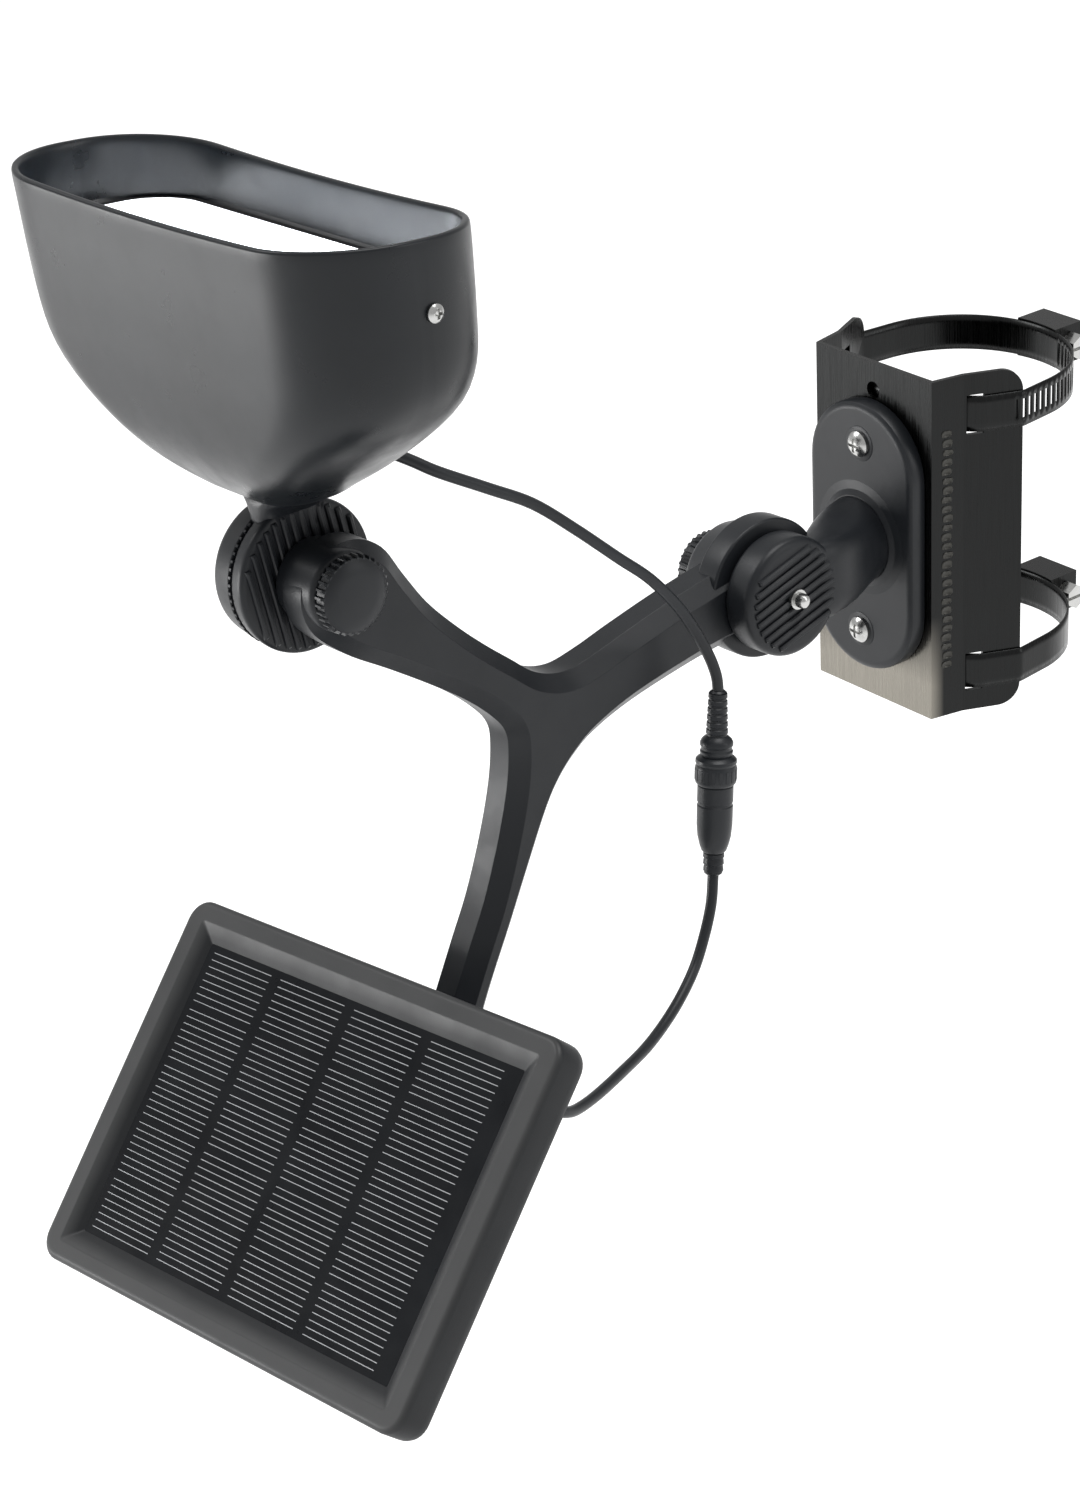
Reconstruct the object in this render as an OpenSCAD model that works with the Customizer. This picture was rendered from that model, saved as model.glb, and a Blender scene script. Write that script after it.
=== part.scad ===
// Pole-mounted solar spot light: a steel pole bracket, a Y arm, a hooded lamp and a framed solar panel.
// Origin: pole axis, halfway up the bracket. +Z runs up the pole, the arms reach out towards -Y.

/* [Pole bracket] */
// Diameter of the pole that the bracket grips
pole_d = 76; // [74:1:78]
// Height of the steel channel
bracket_h = 124; // [116:2:132]
// Width of the channel's front plate
plate_w = 56; // [54:1:58]
// Sheet thickness of the channel
sheet_t = 1.6; // [1.5:0.1:1.8]
// Width of each clamp band
band_w = 12.7; // [12:0.1:13.5]
// Thickness of each clamp band
band_t = 0.7; // [0.6:0.1:0.8]
// Distance between the two clamp bands
band_spacing = 95; // [90:1:98]

/* [Base and stem] */
// Width of the obround base plate
base_w = 50; // [48:1:52]
// Height of the obround base plate
base_h = 98; // [94:1:100]
// Thickness of the base plate
base_t = 6.5; // [6.5:0.5:7]
// Distance between the two base screws
base_screw_gap = 69; // [66:1:72]
// Turn of the stem in the base plate, as stored
stem_roll = 3; // [0:1:6]

/* [Y arm] */
// Thickness of the arm
arm_t = 20; // [18:1:22]
// Radius of the arm's drum at the stem joint
drum_r = 24; // [23:0.5:25]

/* [Lamp head] */
// Length of the hood's mouth
hood_l = 178; // [172:2:184]
// Width of the hood's mouth
hood_w = 70; // [68:1:74]
// Wall of the hood
hood_wall = 2.6; // [2.4:0.1:3]

/* [Solar panel] */
// Width of the panel frame
panel_w = 188; // [184:2:196]
// Height of the panel frame
panel_h = 130; // [126:2:134]
// Thickness of the panel frame
panel_t = 13; // [12:1:15]
// Width of the visible cell
cell_w = 159; // [150:1:160]
// Height of the visible cell
cell_h = 104; // [100:2:108]

/* [Hidden] */
$fn = 48;
round_fn = 32;       // for the children of a hull
gap = 0.3;           // air between pieces of different bodies
run_gap = 0.06;      // radial clearance of a turning fit
bolt_r = 2.5;        // M5 joint bolts

// --- bracket layout -------------------------------------------------------------------------
grip_r = pole_d / 2 + 0.05;                 // inside radius of the bands
wing_tilt = -25;                            // direction in which a wing touches the pole
wing_n = [cos(wing_tilt), sin(wing_tilt)];  // across the wing, away from the pole
wing_d = [-wing_n.y, wing_n.x];             // along the wing, away from the front plate
wing_l = 21;
wing_root = (grip_r + sheet_t / 2) * wing_n - 13 * wing_d;
wing_tip = wing_root + wing_l * wing_d;
plate_y = -(pole_d / 2 + 3);                // front face of the plate
plate_corner = [plate_w / 2 - sheet_t / 2, plate_y + sheet_t / 2];
band_mid_r = grip_r + band_t / 2;
over_wing = sheet_t / 2 + 0.05 + band_t / 2;
band_slot_h = band_w + 1.4;
worm_y = grip_r + band_t + 6.3;             // worm axis, behind the pole
worm_r = 4.1;

// --- stem joint -----------------------------------------------------------------------------
base_y = plate_y - base_t;                  // front face of the base plate
stem_r = 15;                                // round root of the stem
flange_r = 19;
flange_t = 3;
collar_h = 2.4;
mount_c = [-98.5, -0.5];                    // y and z of the stem joint, in the arm's frame
drum_x0 = -1;
drum_x1 = 8.5;
stem_neck_r = 17.5;
stem_eye_x0 = 10.5;
stem_eye_x1 = 22;
stem_eye_r = 20.5;
rib_h = 1.4;

// --- arm layout, y and z in the arm's frame ----------------------------------------------------
lamp_c = [-268, 52];
panel_c = [-258, -166];
arm_x = arm_t / 2;
arm_chamfer = 3.5;
lamp_eye_r = 15;
panel_eye_r = 16;

// --- lamp head --------------------------------------------------------------------------------
foot_x1 = -arm_x - gap;
foot_x0 = foot_x1 - 10;
foot_r = 25;
head_x = -15;
mouth_c = [-276, 173];                      // y and z of the mouth's centre
mouth_tilt = -4;
neck_c = [-269, 88];                        // y and z of the hood's foot
shoulder_c = [-274, 137];                   // y and z where the skirt meets the taper
hood_corner_r = 26;
lens_drop = 17;                             // rim to lens
lens_t = 3;
lens_l = hood_l - 18;
lens_w = hood_w - 16;
gasket_lip = 1.5;
ledge_z = -lens_drop - lens_t - gasket_lip - 1;
tray_drop = 10.5;                           // ledge to the underside of the reflector
board_z = ledge_z - tray_drop;              // top of the LED board
led_t = 1.6;
chip_gap = 18;
cell_c = [-271.5, 118];                     // y and z of the battery cell
cell_r = 9.2;
cell_l = 65;
button_c = [-45, 143];                      // x and z of the power button
button_r = 4;
back_y = mouth_c.x + hood_w / 2;            // outer face of the hood's back wall
gland_p = [2, -255, 92.6];
gland_dip = 17;
foot_screw_x = 12;
seat_y = (lens_drop + 3) * 0.12;            // the hood leans this much by the depth of the lens
hood_screw_c = [-272, 154];

// --- panel ------------------------------------------------------------------------------------
panel_tilt = 41.1;
panel_spin = 4.2;
panel_o = [0, -306.5, -130.7];              // centre of the frame's front face
panel_foot_r = 18;
frame_r = 8;
cell_drop = 3;                              // frame face to cell
laminate_t = 3;
laminate_lip = 4;
back_t = 3;
back_w = panel_w - 12;
back_h = panel_h - 12;
boss_r = 21;
boss_t = 3;
flange_bolt_r = 17.5;
back_screw_x = cell_w / 2 + laminate_lip + 4;
flange_z = -panel_t - boss_t;               // back face of the boss
junction_c = [74, 45.7];
junction_z = -panel_t - 6;                  // back face of the junction box
gland_l = 8;
back_screw_y = 28;
bevel_w = 6;

// --- leads, millimetres in the arm's frame ---------------------------------------------------
lead_r = 1.9;
lamp_route = [
  [2, -247.32, 90.25], [2, -245.6, 89.72], [4.3, -242.4, 88.1], [7.6, -237.2, 84.7], [11.4, -230.5, 80], [15, -215, 71],
  [17, -200, 62],
  [19, -186, 50], [21, -171, 36], [22, -160, 26], [23, -151, 15], [24, -145, 5], [25, -140, -6],
  [25.7, -137.7, -14], [26, -137.5, -19.5]
];
plug_top = lamp_route[len(lamp_route) - 1];
plug_end = [28, -146.5, -82.5];
panel_route = [
  plug_end, [30, -150, -92], [32, -156, -102], [35, -164, -110], [40, -177, -116.5], [47, -194, -120],
  [55, -212, -119.5], [63, -230, -118], [68.5, -243, -115.6], [70.45, -249.62, -112.65], [70.45, -252.61, -110.04]
];

// --- shared shapes ------------------------------------------------------------------------------

// Turns its children about the stem's axis, as the whole arm is stored
module arm_frame() {
  rotate([0, -stem_roll, 0]) children();
}

// A cylinder along X about the point [y, z]
module xcyl(c, x0, x1, r) {
  translate([x0, c.x, c.y]) rotate([0, 90, 0]) cylinder(h = x1 - x0, r = r);
}

// A bent strip of sheet metal through the points p, seen from above
function turned(v) = [-v.y, v.x] / norm(v);
function mitre(a, b) = (a + b) / (1 + a * b);
function bend(p, i) = mitre(turned(p[max(i, 1)] - p[max(i, 1) - 1]),
                            turned(p[min(i + 1, len(p) - 1)] - p[min(i, len(p) - 2)]));
module bent_strip(p, t, h) {
  n = len(p) - 1;
  linear_extrude(h) polygon(concat([for (i = [0:n]) p[i] + bend(p, i) * t / 2],
                                   [for (i = [n:-1:0]) p[i] - bend(p, i) * t / 2]));
}

// A flat-sided obround plate standing in the XZ plane, from y0 to y1
module obround_plate(w, h, y0, y1) {
  translate([0, y1, 0]) rotate([90, 0, 0]) linear_extrude(y1 - y0) {
    square([w, h - w], center = true);
    for (s = [-1, 1]) translate([0, s * (h - w) / 2]) circle(d = w);
  }
}

// A rectangle with round corners, exact arcs
module round_rect(w, h, r) {
  square([w - 2 * r, h], center = true);
  square([w, h - 2 * r], center = true);
  for (x = [-1, 1], y = [-1, 1]) translate([x * (w / 2 - r), y * (h / 2 - r)]) circle(r = r);
}

// A pan head cross-recess screw: head on +Z, thread down -Z
module pan_screw(head_r, head_h, shank_r, shank_l) {
  difference() {
    intersection() {
      cylinder(h = head_h, r = head_r);
      translate([0, 0, -head_r * 0.55]) sphere(r = head_r * 1.3);
    }
    for (a = [0, 90]) rotate([0, 0, a]) translate([-head_r * 0.55, -0.5, head_h - 1.2]) cube([head_r * 1.1, 1, 3]);
  }
  translate([0, 0, -shank_l]) cylinder(h = shank_l, r = shank_r);
}

// A disc about the X axis with raised parallel ribs on one face
module ribbed_disc(c, x0, x1, r, rib_dir, side) {
  xcyl(c, x0, x1, r);
  pitch = 4.4;
  n = floor((r - 2) / pitch);
  face = side > 0 ? x1 : x0 - rib_h;
  intersection() {
    xcyl(c, face, face + rib_h, r - 1.2);
    for (i = [-n:n]) translate([face, c.x, c.y]) rotate([rib_dir, 0, 0])
      translate([-1, -r, i * pitch - 1.1]) cube([rib_h + 2, 2 * r, 2.2]);
  }
}

// A hand knob about the X axis with a toothed rim
module toothed_knob(c, x0, x1, r, teeth) {
  translate([x0, c.x, c.y]) rotate([90, 0, 90]) linear_extrude(x1 - x0) difference() {
    union() {
      circle(r = r);
      for (i = [0:teeth - 1]) rotate([0, 0, i * 360 / teeth]) translate([r - 0.6, -0.8]) square([1.5, 1.6]);
    }
    circle(r = bolt_r);
  }
}

// A nut about the X axis
module x_nut(c, x0, x1) {
  difference() {
    translate([x0, c.x, c.y]) rotate([0, 90, 0]) cylinder(h = x1 - x0, r = 4.6, $fn = 6);
    xcyl(c, x0 - 1, x1 + 1, bolt_r + run_gap);
  }
}

// A tube swept along a route of points
function unit(v) = v / norm(v);
function heading(p, i) = unit((i < len(p) - 1 ? p[i + 1] : p[i]) - (i > 0 ? p[i - 1] : p[i]));
function side_of(t) = unit(cross(t, abs(t.z) < 0.9 ? [0, 0, 1] : [1, 0, 0]));
module tube(p, r, sides = 8) {
  rings = [for (i = [0:len(p) - 1])
    let (t = heading(p, i), u = side_of(t), v = cross(t, u))
      for (k = [0:sides - 1]) p[i] + r * (cos(k * 360 / sides) * u + sin(k * 360 / sides) * v)];
  last = (len(p) - 1) * sides;
  walls = [for (i = [0:len(p) - 2], k = [0:sides - 1])
    [i * sides + k, i * sides + (k + 1) % sides, (i + 1) * sides + (k + 1) % sides, (i + 1) * sides + k]];
  caps = [[for (k = [sides - 1:-1:0]) k], [for (k = [0:sides - 1]) last + k]];
  polyhedron(points = rings, faces = concat(walls, caps), convexity = 8);
}

// --- pole bracket -------------------------------------------------------------------------------

module wing_slots() {
  for (z = [-1, 1] * band_spacing / 2)
    translate([wing_root.x, wing_root.y, z - band_slot_h / 2]) rotate([0, 0, 90 + wing_tilt])
      translate([1, -3, 0]) cube([6.3, 6, band_slot_h]);
}

// What rounds off the far corners of a wing
module wing_corners() {
  r = 8;
  translate([wing_root.x, wing_root.y, 0]) rotate([0, 0, 90 + wing_tilt]) for (s = [0, 1]) mirror([0, 0, s])
    translate([wing_l - r, -3, bracket_h / 2 - r]) difference() {
      cube([r + 2, 6, r + 1]);
      translate([0, -1, 0]) rotate([-90, 0, 0]) cylinder(h = 8, r = r);
    }
}

module pole_channel() {
  half = [plate_corner, wing_root, wing_tip];
  color("silver") difference() {
    translate([0, 0, -bracket_h / 2])
      bent_strip(concat([for (i = [2:-1:0]) [-half[i].x, half[i].y]], half), sheet_t, bracket_h);
    for (s = [0, 1]) mirror([s, 0, 0]) {
      wing_slots();
      wing_corners();
    }
    for (z = [-1, 1] * base_screw_gap / 2)
      translate([0, plate_y - 1, z]) rotate([-90, 0, 0]) cylinder(h = 4, r = 2.52);
    translate([0, plate_y - 1, 52]) rotate([-90, 0, 0]) cylinder(h = 4, r = 3);
  }
}

// One clamp band: round the back of the pole, over the wings, through their slots and across the front
module clamp_band() {
  front = 58;
  lap = 1.2;
  leave = [sin(front), cos(front)];
  p0 = band_mid_r * [cos(front), -sin(front)];
  p3 = wing_root + 6.8 * wing_d + over_wing * wing_n;
  p4 = wing_tip + over_wing * wing_n;
  back = atan2(p4.y, p4.x) + acos(band_mid_r / norm(p4));
  join = [-sin(back), cos(back)];
  route = [p0 - lap * leave, p0 + 7.8 * leave, wing_root + 3.6 * wing_d, p3, p4,
           band_mid_r * [cos(back), sin(back)] + lap * join];
  translate([0, 0, -band_w / 2]) {
    for (a = [[back, 180 - 2 * back], [180 + front, 180 - 2 * front]])
      rotate([0, 0, a[0]]) rotate_extrude(angle = a[1], $fn = 96) translate([grip_r, 0]) square([band_t, band_w]);
    for (s = [0, 1]) mirror([s, 0, 0]) bent_strip(route, band_t - 0.1, band_w);
  }
}

module upper_band() {
  color("silver") translate([0, 0, band_spacing / 2]) clamp_band();
}

module lower_band() {
  color("silver") translate([0, 0, -band_spacing / 2]) clamp_band();
}

module worm_housings() {
  color("silver") for (z = [-1, 1] * band_spacing / 2) difference() {
    translate([-9, grip_r - 2, z - 7]) cube([18, worm_y + 5.6 - grip_r + 2, 14]);
    cylinder(h = 200, r = grip_r + band_t, center = true, $fn = 96);
    xcyl([worm_y, z], -10, 10, worm_r + run_gap);
  }
}

// A worm screw along X: ridged shank, slotted hexagon head and an end collar
module worm_screw(z) {
  c = [worm_y, z];
  xcyl(c, -9.3, 9.4, worm_r - 0.7);
  for (i = [0:6]) xcyl(c, -8.4 + i * 2.6, -7.2 + i * 2.6, worm_r);
  xcyl(c, -11, -9.3, worm_r + 0.8);
  difference() {
    translate([9.3, c.x, c.y]) rotate([0, 90, 0]) cylinder(h = 5.2, r = 4.6, $fn = 6);
    translate([13.1, c.x - 5, c.y - 0.6]) cube([3, 10, 1.2]);
  }
}

module upper_worm_screw() {
  color("silver") worm_screw(band_spacing / 2);
}

module lower_worm_screw() {
  color("silver") worm_screw(-band_spacing / 2);
}

module base_plate() {
  color([0.16, 0.17, 0.18]) difference() {
    union() {
      obround_plate(base_w, base_h, base_y, plate_y);
      translate([0, base_y - collar_h, 0]) rotate([-90, 0, 0]) cylinder(h = collar_h + 1, r = stem_r + 4);
    }
    translate([0, base_y - collar_h - 1, 0]) rotate([-90, 0, 0]) cylinder(h = 20, r = stem_r + run_gap);
    translate([0, plate_y - flange_t - 2 * gap, 0]) rotate([-90, 0, 0]) cylinder(h = 5, r = flange_r + gap);
    for (z = [-1, 1] * base_screw_gap / 2)
      translate([0, base_y - 1, z]) rotate([-90, 0, 0]) cylinder(h = 20, r = 2.6);
  }
}

module base_screws() {
  color("silver") for (z = [-1, 1] * base_screw_gap / 2)
    translate([0, base_y, z]) rotate([90, 0, 0]) pan_screw(4.6, 3.2, 2.5, base_t + sheet_t - 0.2);
}

// --- stem -----------------------------------------------------------------------------------------

// A cylinder along Y about the stem's axis
module ycyl(y0, y1, r) {
  translate([0, y0, 0]) rotate([-90, 0, 0]) cylinder(h = y1 - y0, r = r);
}

module stem() {
  root_y = base_y - collar_h;
  color([0.16, 0.17, 0.18]) arm_frame() difference() {
    union() {
      ycyl(plate_y - gap - flange_t, plate_y - gap, flange_r);
      ycyl(root_y - 1, plate_y - gap - flange_t, stem_r);
      difference() {
        union() {
          hull($fn = round_fn) {
            ycyl(root_y - 1.5, root_y - 1, stem_r - 0.5);
            translate([5, -64, 0]) rotate([90, 0, 0]) linear_extrude(0.5, center = true) round_rect(22, 21, 5);
          }
          hull($fn = round_fn) {
            translate([5, -64, 0]) rotate([90, 0, 0]) linear_extrude(0.5, center = true) round_rect(22, 21, 5);
            xcyl(mount_c, 6, stem_eye_x1 - 1, 11);
          }
        }
        xcyl(mount_c, -40, stem_eye_x0 - 0.2, drum_r + 0.8);
      }
      ribbed_disc(mount_c, stem_eye_x0, stem_eye_x1, stem_eye_r, 5, 1);
      xcyl(mount_c, drum_x1 + gap, stem_eye_x0, stem_neck_r);
    }
    xcyl(mount_c, -40, 40, bolt_r + run_gap);
    translate([drum_x1 - 1, mount_c.x, mount_c.y]) rotate([0, 90, 0]) cylinder(h = 7, r = 4.65, $fn = 6);
  }
}

module stem_nut() {
  color("silver") arm_frame() x_nut(mount_c, drum_x1 + 1.5, drum_x1 + 6);
}

module mount_knob() {
  color([0.16, 0.17, 0.18]) arm_frame() toothed_knob(mount_c, -24.5, -13.8, 11.8, 24);
}

module mount_bolt() {
  color("silver") arm_frame() {
    xcyl(mount_c, -24.5, 27, bolt_r);
    xcyl(mount_c, 27, 28, bolt_r - 0.6);
  }
}

// --- Y arm --------------------------------------------------------------------------------------

// A thin chamfered slice across the arm at c, facing the direction dir in the YZ plane
module arm_slice(c, w, dir) {
  a = arm_x;
  k = arm_chamfer;
  translate([0, c.x, c.y]) rotate([dir, 0, 0]) rotate([90, 0, 0]) linear_extrude(0.4, center = true)
    polygon([[-a, -w / 2 + k], [-a + k, -w / 2], [a - k, -w / 2], [a, -w / 2 + k],
             [a, w / 2 - k], [a - k, w / 2], [-a + k, w / 2], [-a, w / 2 - k]]);
}

module arm_limb(slices) {
  for (i = [0:len(slices) - 2]) hull() {
    arm_slice(slices[i][0], slices[i][1], slices[i][2]);
    arm_slice(slices[i + 1][0], slices[i + 1][1], slices[i + 1][2]);
  }
}

module y_arm() {
  hub = [[-196, -15], 35, -18];
  color([0.16, 0.17, 0.18]) arm_frame() difference() {
    union() {
      arm_limb([[[-106, -3], 26, 8], [[-145, -8], 23, 8], hub]);
      arm_limb([[[-258, 43], 28, -42], [[-231, 18.5], 19, -42], hub]);
      arm_limb([[[-255, -157], 17, 70], [[-226, -90], 15, 65], [[-200, -20], 24, 62]]);
      xcyl(mount_c, -13.5, drum_x0, 18);
      xcyl(mount_c, drum_x0, drum_x1, drum_r);
      xcyl(lamp_c, -arm_x + 1.4 + gap, arm_x, lamp_eye_r);
      xcyl(panel_c, -arm_x + 1.4 + gap, arm_x, panel_eye_r);
    }
    for (c = [mount_c, lamp_c, panel_c]) xcyl(c, -40, 40, bolt_r + run_gap);
    xcyl(mount_c, drum_x1, 40, stem_eye_r + 1.5);
    xcyl(mount_c, -40, -13.5, 20);
    xcyl(lamp_c, -40, -arm_x + 1.4 + gap, foot_r + 1.5);
    xcyl(panel_c, -40, -arm_x + 1.4 + gap, panel_foot_r + 1.5);
  }
}

// --- lamp head ------------------------------------------------------------------------------------

module lamp_foot() {
  color([0.16, 0.17, 0.18]) arm_frame() difference() {
    union() {
      ribbed_disc(lamp_c, foot_x0, foot_x1, foot_r, 100, 1);
      hull($fn = round_fn) {
        xcyl([lamp_c.x, lamp_c.y + 12], foot_x0 + 0.5, foot_x1 - 0.5, 12);
        translate([head_x, neck_c.x, neck_c.y - 3]) linear_extrude(3) round_rect(36, 23, 9);
      }
    }
    xcyl(lamp_c, -40, 40, bolt_r + run_gap);
    xcyl(lamp_c, foot_x1 + rib_h, 40, lamp_eye_r + 4);
    xcyl(lamp_c, foot_x0 - 20, foot_x0, foot_r - 1);
    for (x = [-1, 1] * foot_screw_x) translate([head_x + x, neck_c.x, neck_c.y - 9]) cylinder(h = 20, r = 1.5);
  }
}

module lamp_drum() {
  color([0.16, 0.17, 0.18]) arm_frame() difference() {
    union() {
      xcyl(lamp_c, foot_x0 - 9, foot_x0 - 1.2, foot_r - 1);
      xcyl(lamp_c, foot_x0 - 1.2, foot_x0, foot_r - 4);
    }
    xcyl(lamp_c, -60, 0, bolt_r + run_gap);
    translate([foot_x0 - 10, lamp_c.x, lamp_c.y]) rotate([0, 90, 0]) cylinder(h = 5, r = 4.65, $fn = 6);
  }
}

module lamp_joint_nut() {
  color("silver") arm_frame() x_nut(lamp_c, foot_x0 - 8.6, foot_x0 - 5);
}

module lamp_knob() {
  color([0.16, 0.17, 0.18]) arm_frame() toothed_knob(lamp_c, arm_x + gap, arm_x + 6, 11.8, 24);
}

module lamp_bolt() {
  color("silver") arm_frame() xcyl(lamp_c, foot_x0 - 8.8, arm_x + 5.5, bolt_r);
}

// --- hood and lamp ----------------------------------------------------------------------------------

// The frame of the hood's mouth: X along it, +Z outwards
module mouth_frame() {
  arm_frame() translate([head_x, mouth_c.x, mouth_c.y]) rotate([mouth_tilt, 0, 0]) children();
}

// The hood's outline moved inwards by inset, from the floor height to above the mouth by top
module hood_form(inset, top, floor_z) {
  hull($fn = round_fn) {
    mouth_frame() translate([0, 0, top - 0.4]) linear_extrude(0.4)
      round_rect(hood_l - 2 * inset, hood_w - 2 * inset, hood_corner_r - inset);
    arm_frame() {
      translate([head_x, shoulder_c.x, shoulder_c.y]) linear_extrude(0.4)
        round_rect(hood_l - 4 - 2 * inset, hood_w - 4 - 2 * inset, hood_corner_r - 2 - inset);
      translate([head_x, neck_c.x, floor_z]) linear_extrude(0.4) round_rect(40 - 2 * inset, 26 - 2 * inset, 10 - inset);
    }
  }
}

// A flat round-cornered plate in the mouth's frame, between two heights
module mouth_plate(l, w, r, z0, z1) {
  mouth_frame() translate([0, seat_y, z0]) linear_extrude(z1 - z0) round_rect(l, w, r);
}

module lamp_hood() {
  color([0.16, 0.17, 0.18]) difference() {
    union() {
      difference() {
        hood_form(0, 0, neck_c.y);
        hood_form(hood_wall, 2, neck_c.y + 4);
      }
      difference() {
        intersection() {
          hood_form(0.2, 0, neck_c.y);
          mouth_frame() translate([-100, -60, ledge_z - 2.5]) cube([200, 120, -lens_drop - ledge_z + 2.5]);
        }
        mouth_plate(lens_l + 6, lens_w + 5, 19, ledge_z, 5);
        mouth_plate(lens_l - 4, lens_w - 4, 16, ledge_z - 5, 5);
      }
      arm_frame() for (s = [-1, 1]) translate([head_x, 0, 0]) mirror([s < 0 ? 1 : 0, 0, 0])
        xcyl(hood_screw_c, hood_l / 2 - 6, hood_l / 2 - 0.4, 5);
    }
    arm_frame() {
      for (s = [-1, 1]) translate([head_x, 0, 0]) mirror([s < 0 ? 1 : 0, 0, 0])
        xcyl(hood_screw_c, hood_l / 2 - 10, hood_l / 2 + 5, 1.5);
      for (x = [-1, 1] * foot_screw_x) translate([head_x + x, neck_c.x, neck_c.y - 5]) cylinder(h = 20, r = 1.55);
      translate([button_c.x, back_y - 10, button_c.y]) rotate([-90, 0, 0]) cylinder(h = 20, r = button_r + 1.5);
      translate(gland_p) rotate([-90 - gland_dip, 0, 0]) translate([0, 0, -8]) cylinder(h = 20, r = 3);
    }
  }
}

module hood_screws() {
  color("silver") arm_frame() for (s = [-1, 1]) translate([head_x, 0, 0]) mirror([s < 0 ? 1 : 0, 0, 0])
    translate([hood_l / 2 - 0.4, hood_screw_c.x, hood_screw_c.y]) rotate([0, 90, 0]) pan_screw(2.8, 1.9, 1.5, 5);
}

module foot_screws() {
  color("silver") arm_frame() for (x = [-1, 1] * foot_screw_x)
    translate([head_x + x, neck_c.x, neck_c.y + 4]) pan_screw(2.8, 2, 1.5, 12);
}

module lens() {
  color([0.9, 0.92, 0.94, 0.6]) mouth_plate(lens_l, lens_w, 17, -lens_drop - lens_t, -lens_drop);
}

module lens_gasket() {
  color([0.08, 0.08, 0.08]) difference() {
    mouth_plate(lens_l + 5.8, lens_w + 4.8, 19, -lens_drop - lens_t - gasket_lip, -lens_drop);
    mouth_plate(lens_l, lens_w, 17, -lens_drop - lens_t, 0);
    mouth_plate(lens_l - 6, lens_w - 6, 15, -lens_drop - 10, 0);
  }
}

module reflector() {
  color("white") difference() {
    union() {
      mouth_plate(lens_l + 4, lens_w + 3, 18, ledge_z, ledge_z + 1);
      mouth_plate(lens_l - 5, lens_w - 5, 15, board_z, ledge_z + 0.5);
    }
    mouth_plate(lens_l - 8, lens_w - 8, 14, board_z + 1.5, 0);
    mouth_frame() for (x = [-3.5:3.5], y = [-1, 1] * 10)
      translate([x * chip_gap, seat_y + y, board_z - 1]) cylinder(h = 4, r = 4);
  }
}

module led_board() {
  color("white") mouth_plate(lens_l - 14, 38, 4, board_z - led_t, board_z);
}

module led_chips() {
  color([1, 0.95, 0.75]) mouth_frame() for (x = [-3.5:3.5], y = [-1, 1] * 10)
    translate([x * chip_gap - 1.75, seat_y + y - 1.75, board_z]) cube([3.5, 3.5, 0.8]);
}

module battery_tray() {
  l = cell_l + 5;
  w = 2 * cell_r + 4;
  base_z = cell_c.y - cell_r - 2;
  color([0.12, 0.12, 0.13]) arm_frame() translate([head_x, cell_c.x, 0]) difference() {
    union() {
      translate([-l / 2, -w / 2, base_z]) cube([l, w, cell_r + 2 + 4]);
      for (s = [-1, 1]) translate([s * (l / 2 - 2) - 2, -w / 2, base_z]) cube([4, w, 131 - base_z]);
      translate([-7, -6, neck_c.y + 4]) cube([14, 12, base_z - neck_c.y]);
    }
    translate([-cell_l / 2, 0, cell_c.y]) rotate([0, 90, 0]) cylinder(h = cell_l, r = cell_r);
    translate([-cell_l / 2, -cell_r, cell_c.y]) cube([cell_l, 2 * cell_r, 40]);
  }
}

module battery_cell() {
  color([0.2, 0.35, 0.6]) arm_frame() translate([head_x, 0, 0]) {
    xcyl(cell_c, -cell_l / 2, cell_l / 2 - 1.2, cell_r);
    xcyl(cell_c, cell_l / 2 - 1.2, cell_l / 2, 3.2);
  }
}

module charge_board() {
  color([0.05, 0.3, 0.15]) arm_frame() translate([head_x, cell_c.x, 131]) {
    translate([-36, -13, 0]) cube([72, 26, 1.6]);
    translate([-24, -6, 1.6]) cube([9, 9, 1.6]);
    translate([8, -8, 1.6]) cube([6, 12, 2]);
  }
}

module lamp_gland() {
  color([0.1, 0.1, 0.11]) arm_frame() translate(gland_p) rotate([-90 - gland_dip, 0, 0]) {
    translate([0, 0, -5]) cylinder(h = 7, r = 3);
    translate([0, 0, 1.1]) cylinder(h = 2.7, r = 5.2, $fn = 6);
    translate([0, 0, 3]) cylinder(h = 5, r = 3.8);
  }
}

module button_boot() {
  color([0.08, 0.08, 0.08]) arm_frame() translate([button_c.x, back_y, button_c.y]) rotate([-90, 0, 0]) difference() {
    union() {
      translate([0, 0, -3]) cylinder(h = 4, r = button_r + 1.5);
      translate([0, 0, 0.1]) cylinder(h = 1.4, r = button_r + 3);
    }
    translate([0, 0, -5]) cylinder(h = 10, r = button_r + run_gap);
  }
}

module power_button() {
  color([0.2, 0.2, 0.21]) arm_frame() translate([button_c.x, back_y, button_c.y]) rotate([-90, 0, 0]) {
    translate([0, 0, -4]) cylinder(h = 7.6, r = button_r);
    translate([0, 0, -4.4]) cylinder(h = 1.1, r = button_r + 1);
  }
}

// --- solar panel --------------------------------------------------------------------------------------

// The frame of the panel's front: X across, Y up, +Z out of the cell
module panel_frame_at() {
  arm_frame() translate(panel_o) rotate([90 - panel_tilt, 0, 0]) rotate([0, 0, panel_spin]) children();
}

module panel_plate(w, h, r, z0, z1) {
  translate([0, 0, z0]) linear_extrude(z1 - z0) round_rect(w, h, r);
}

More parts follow.
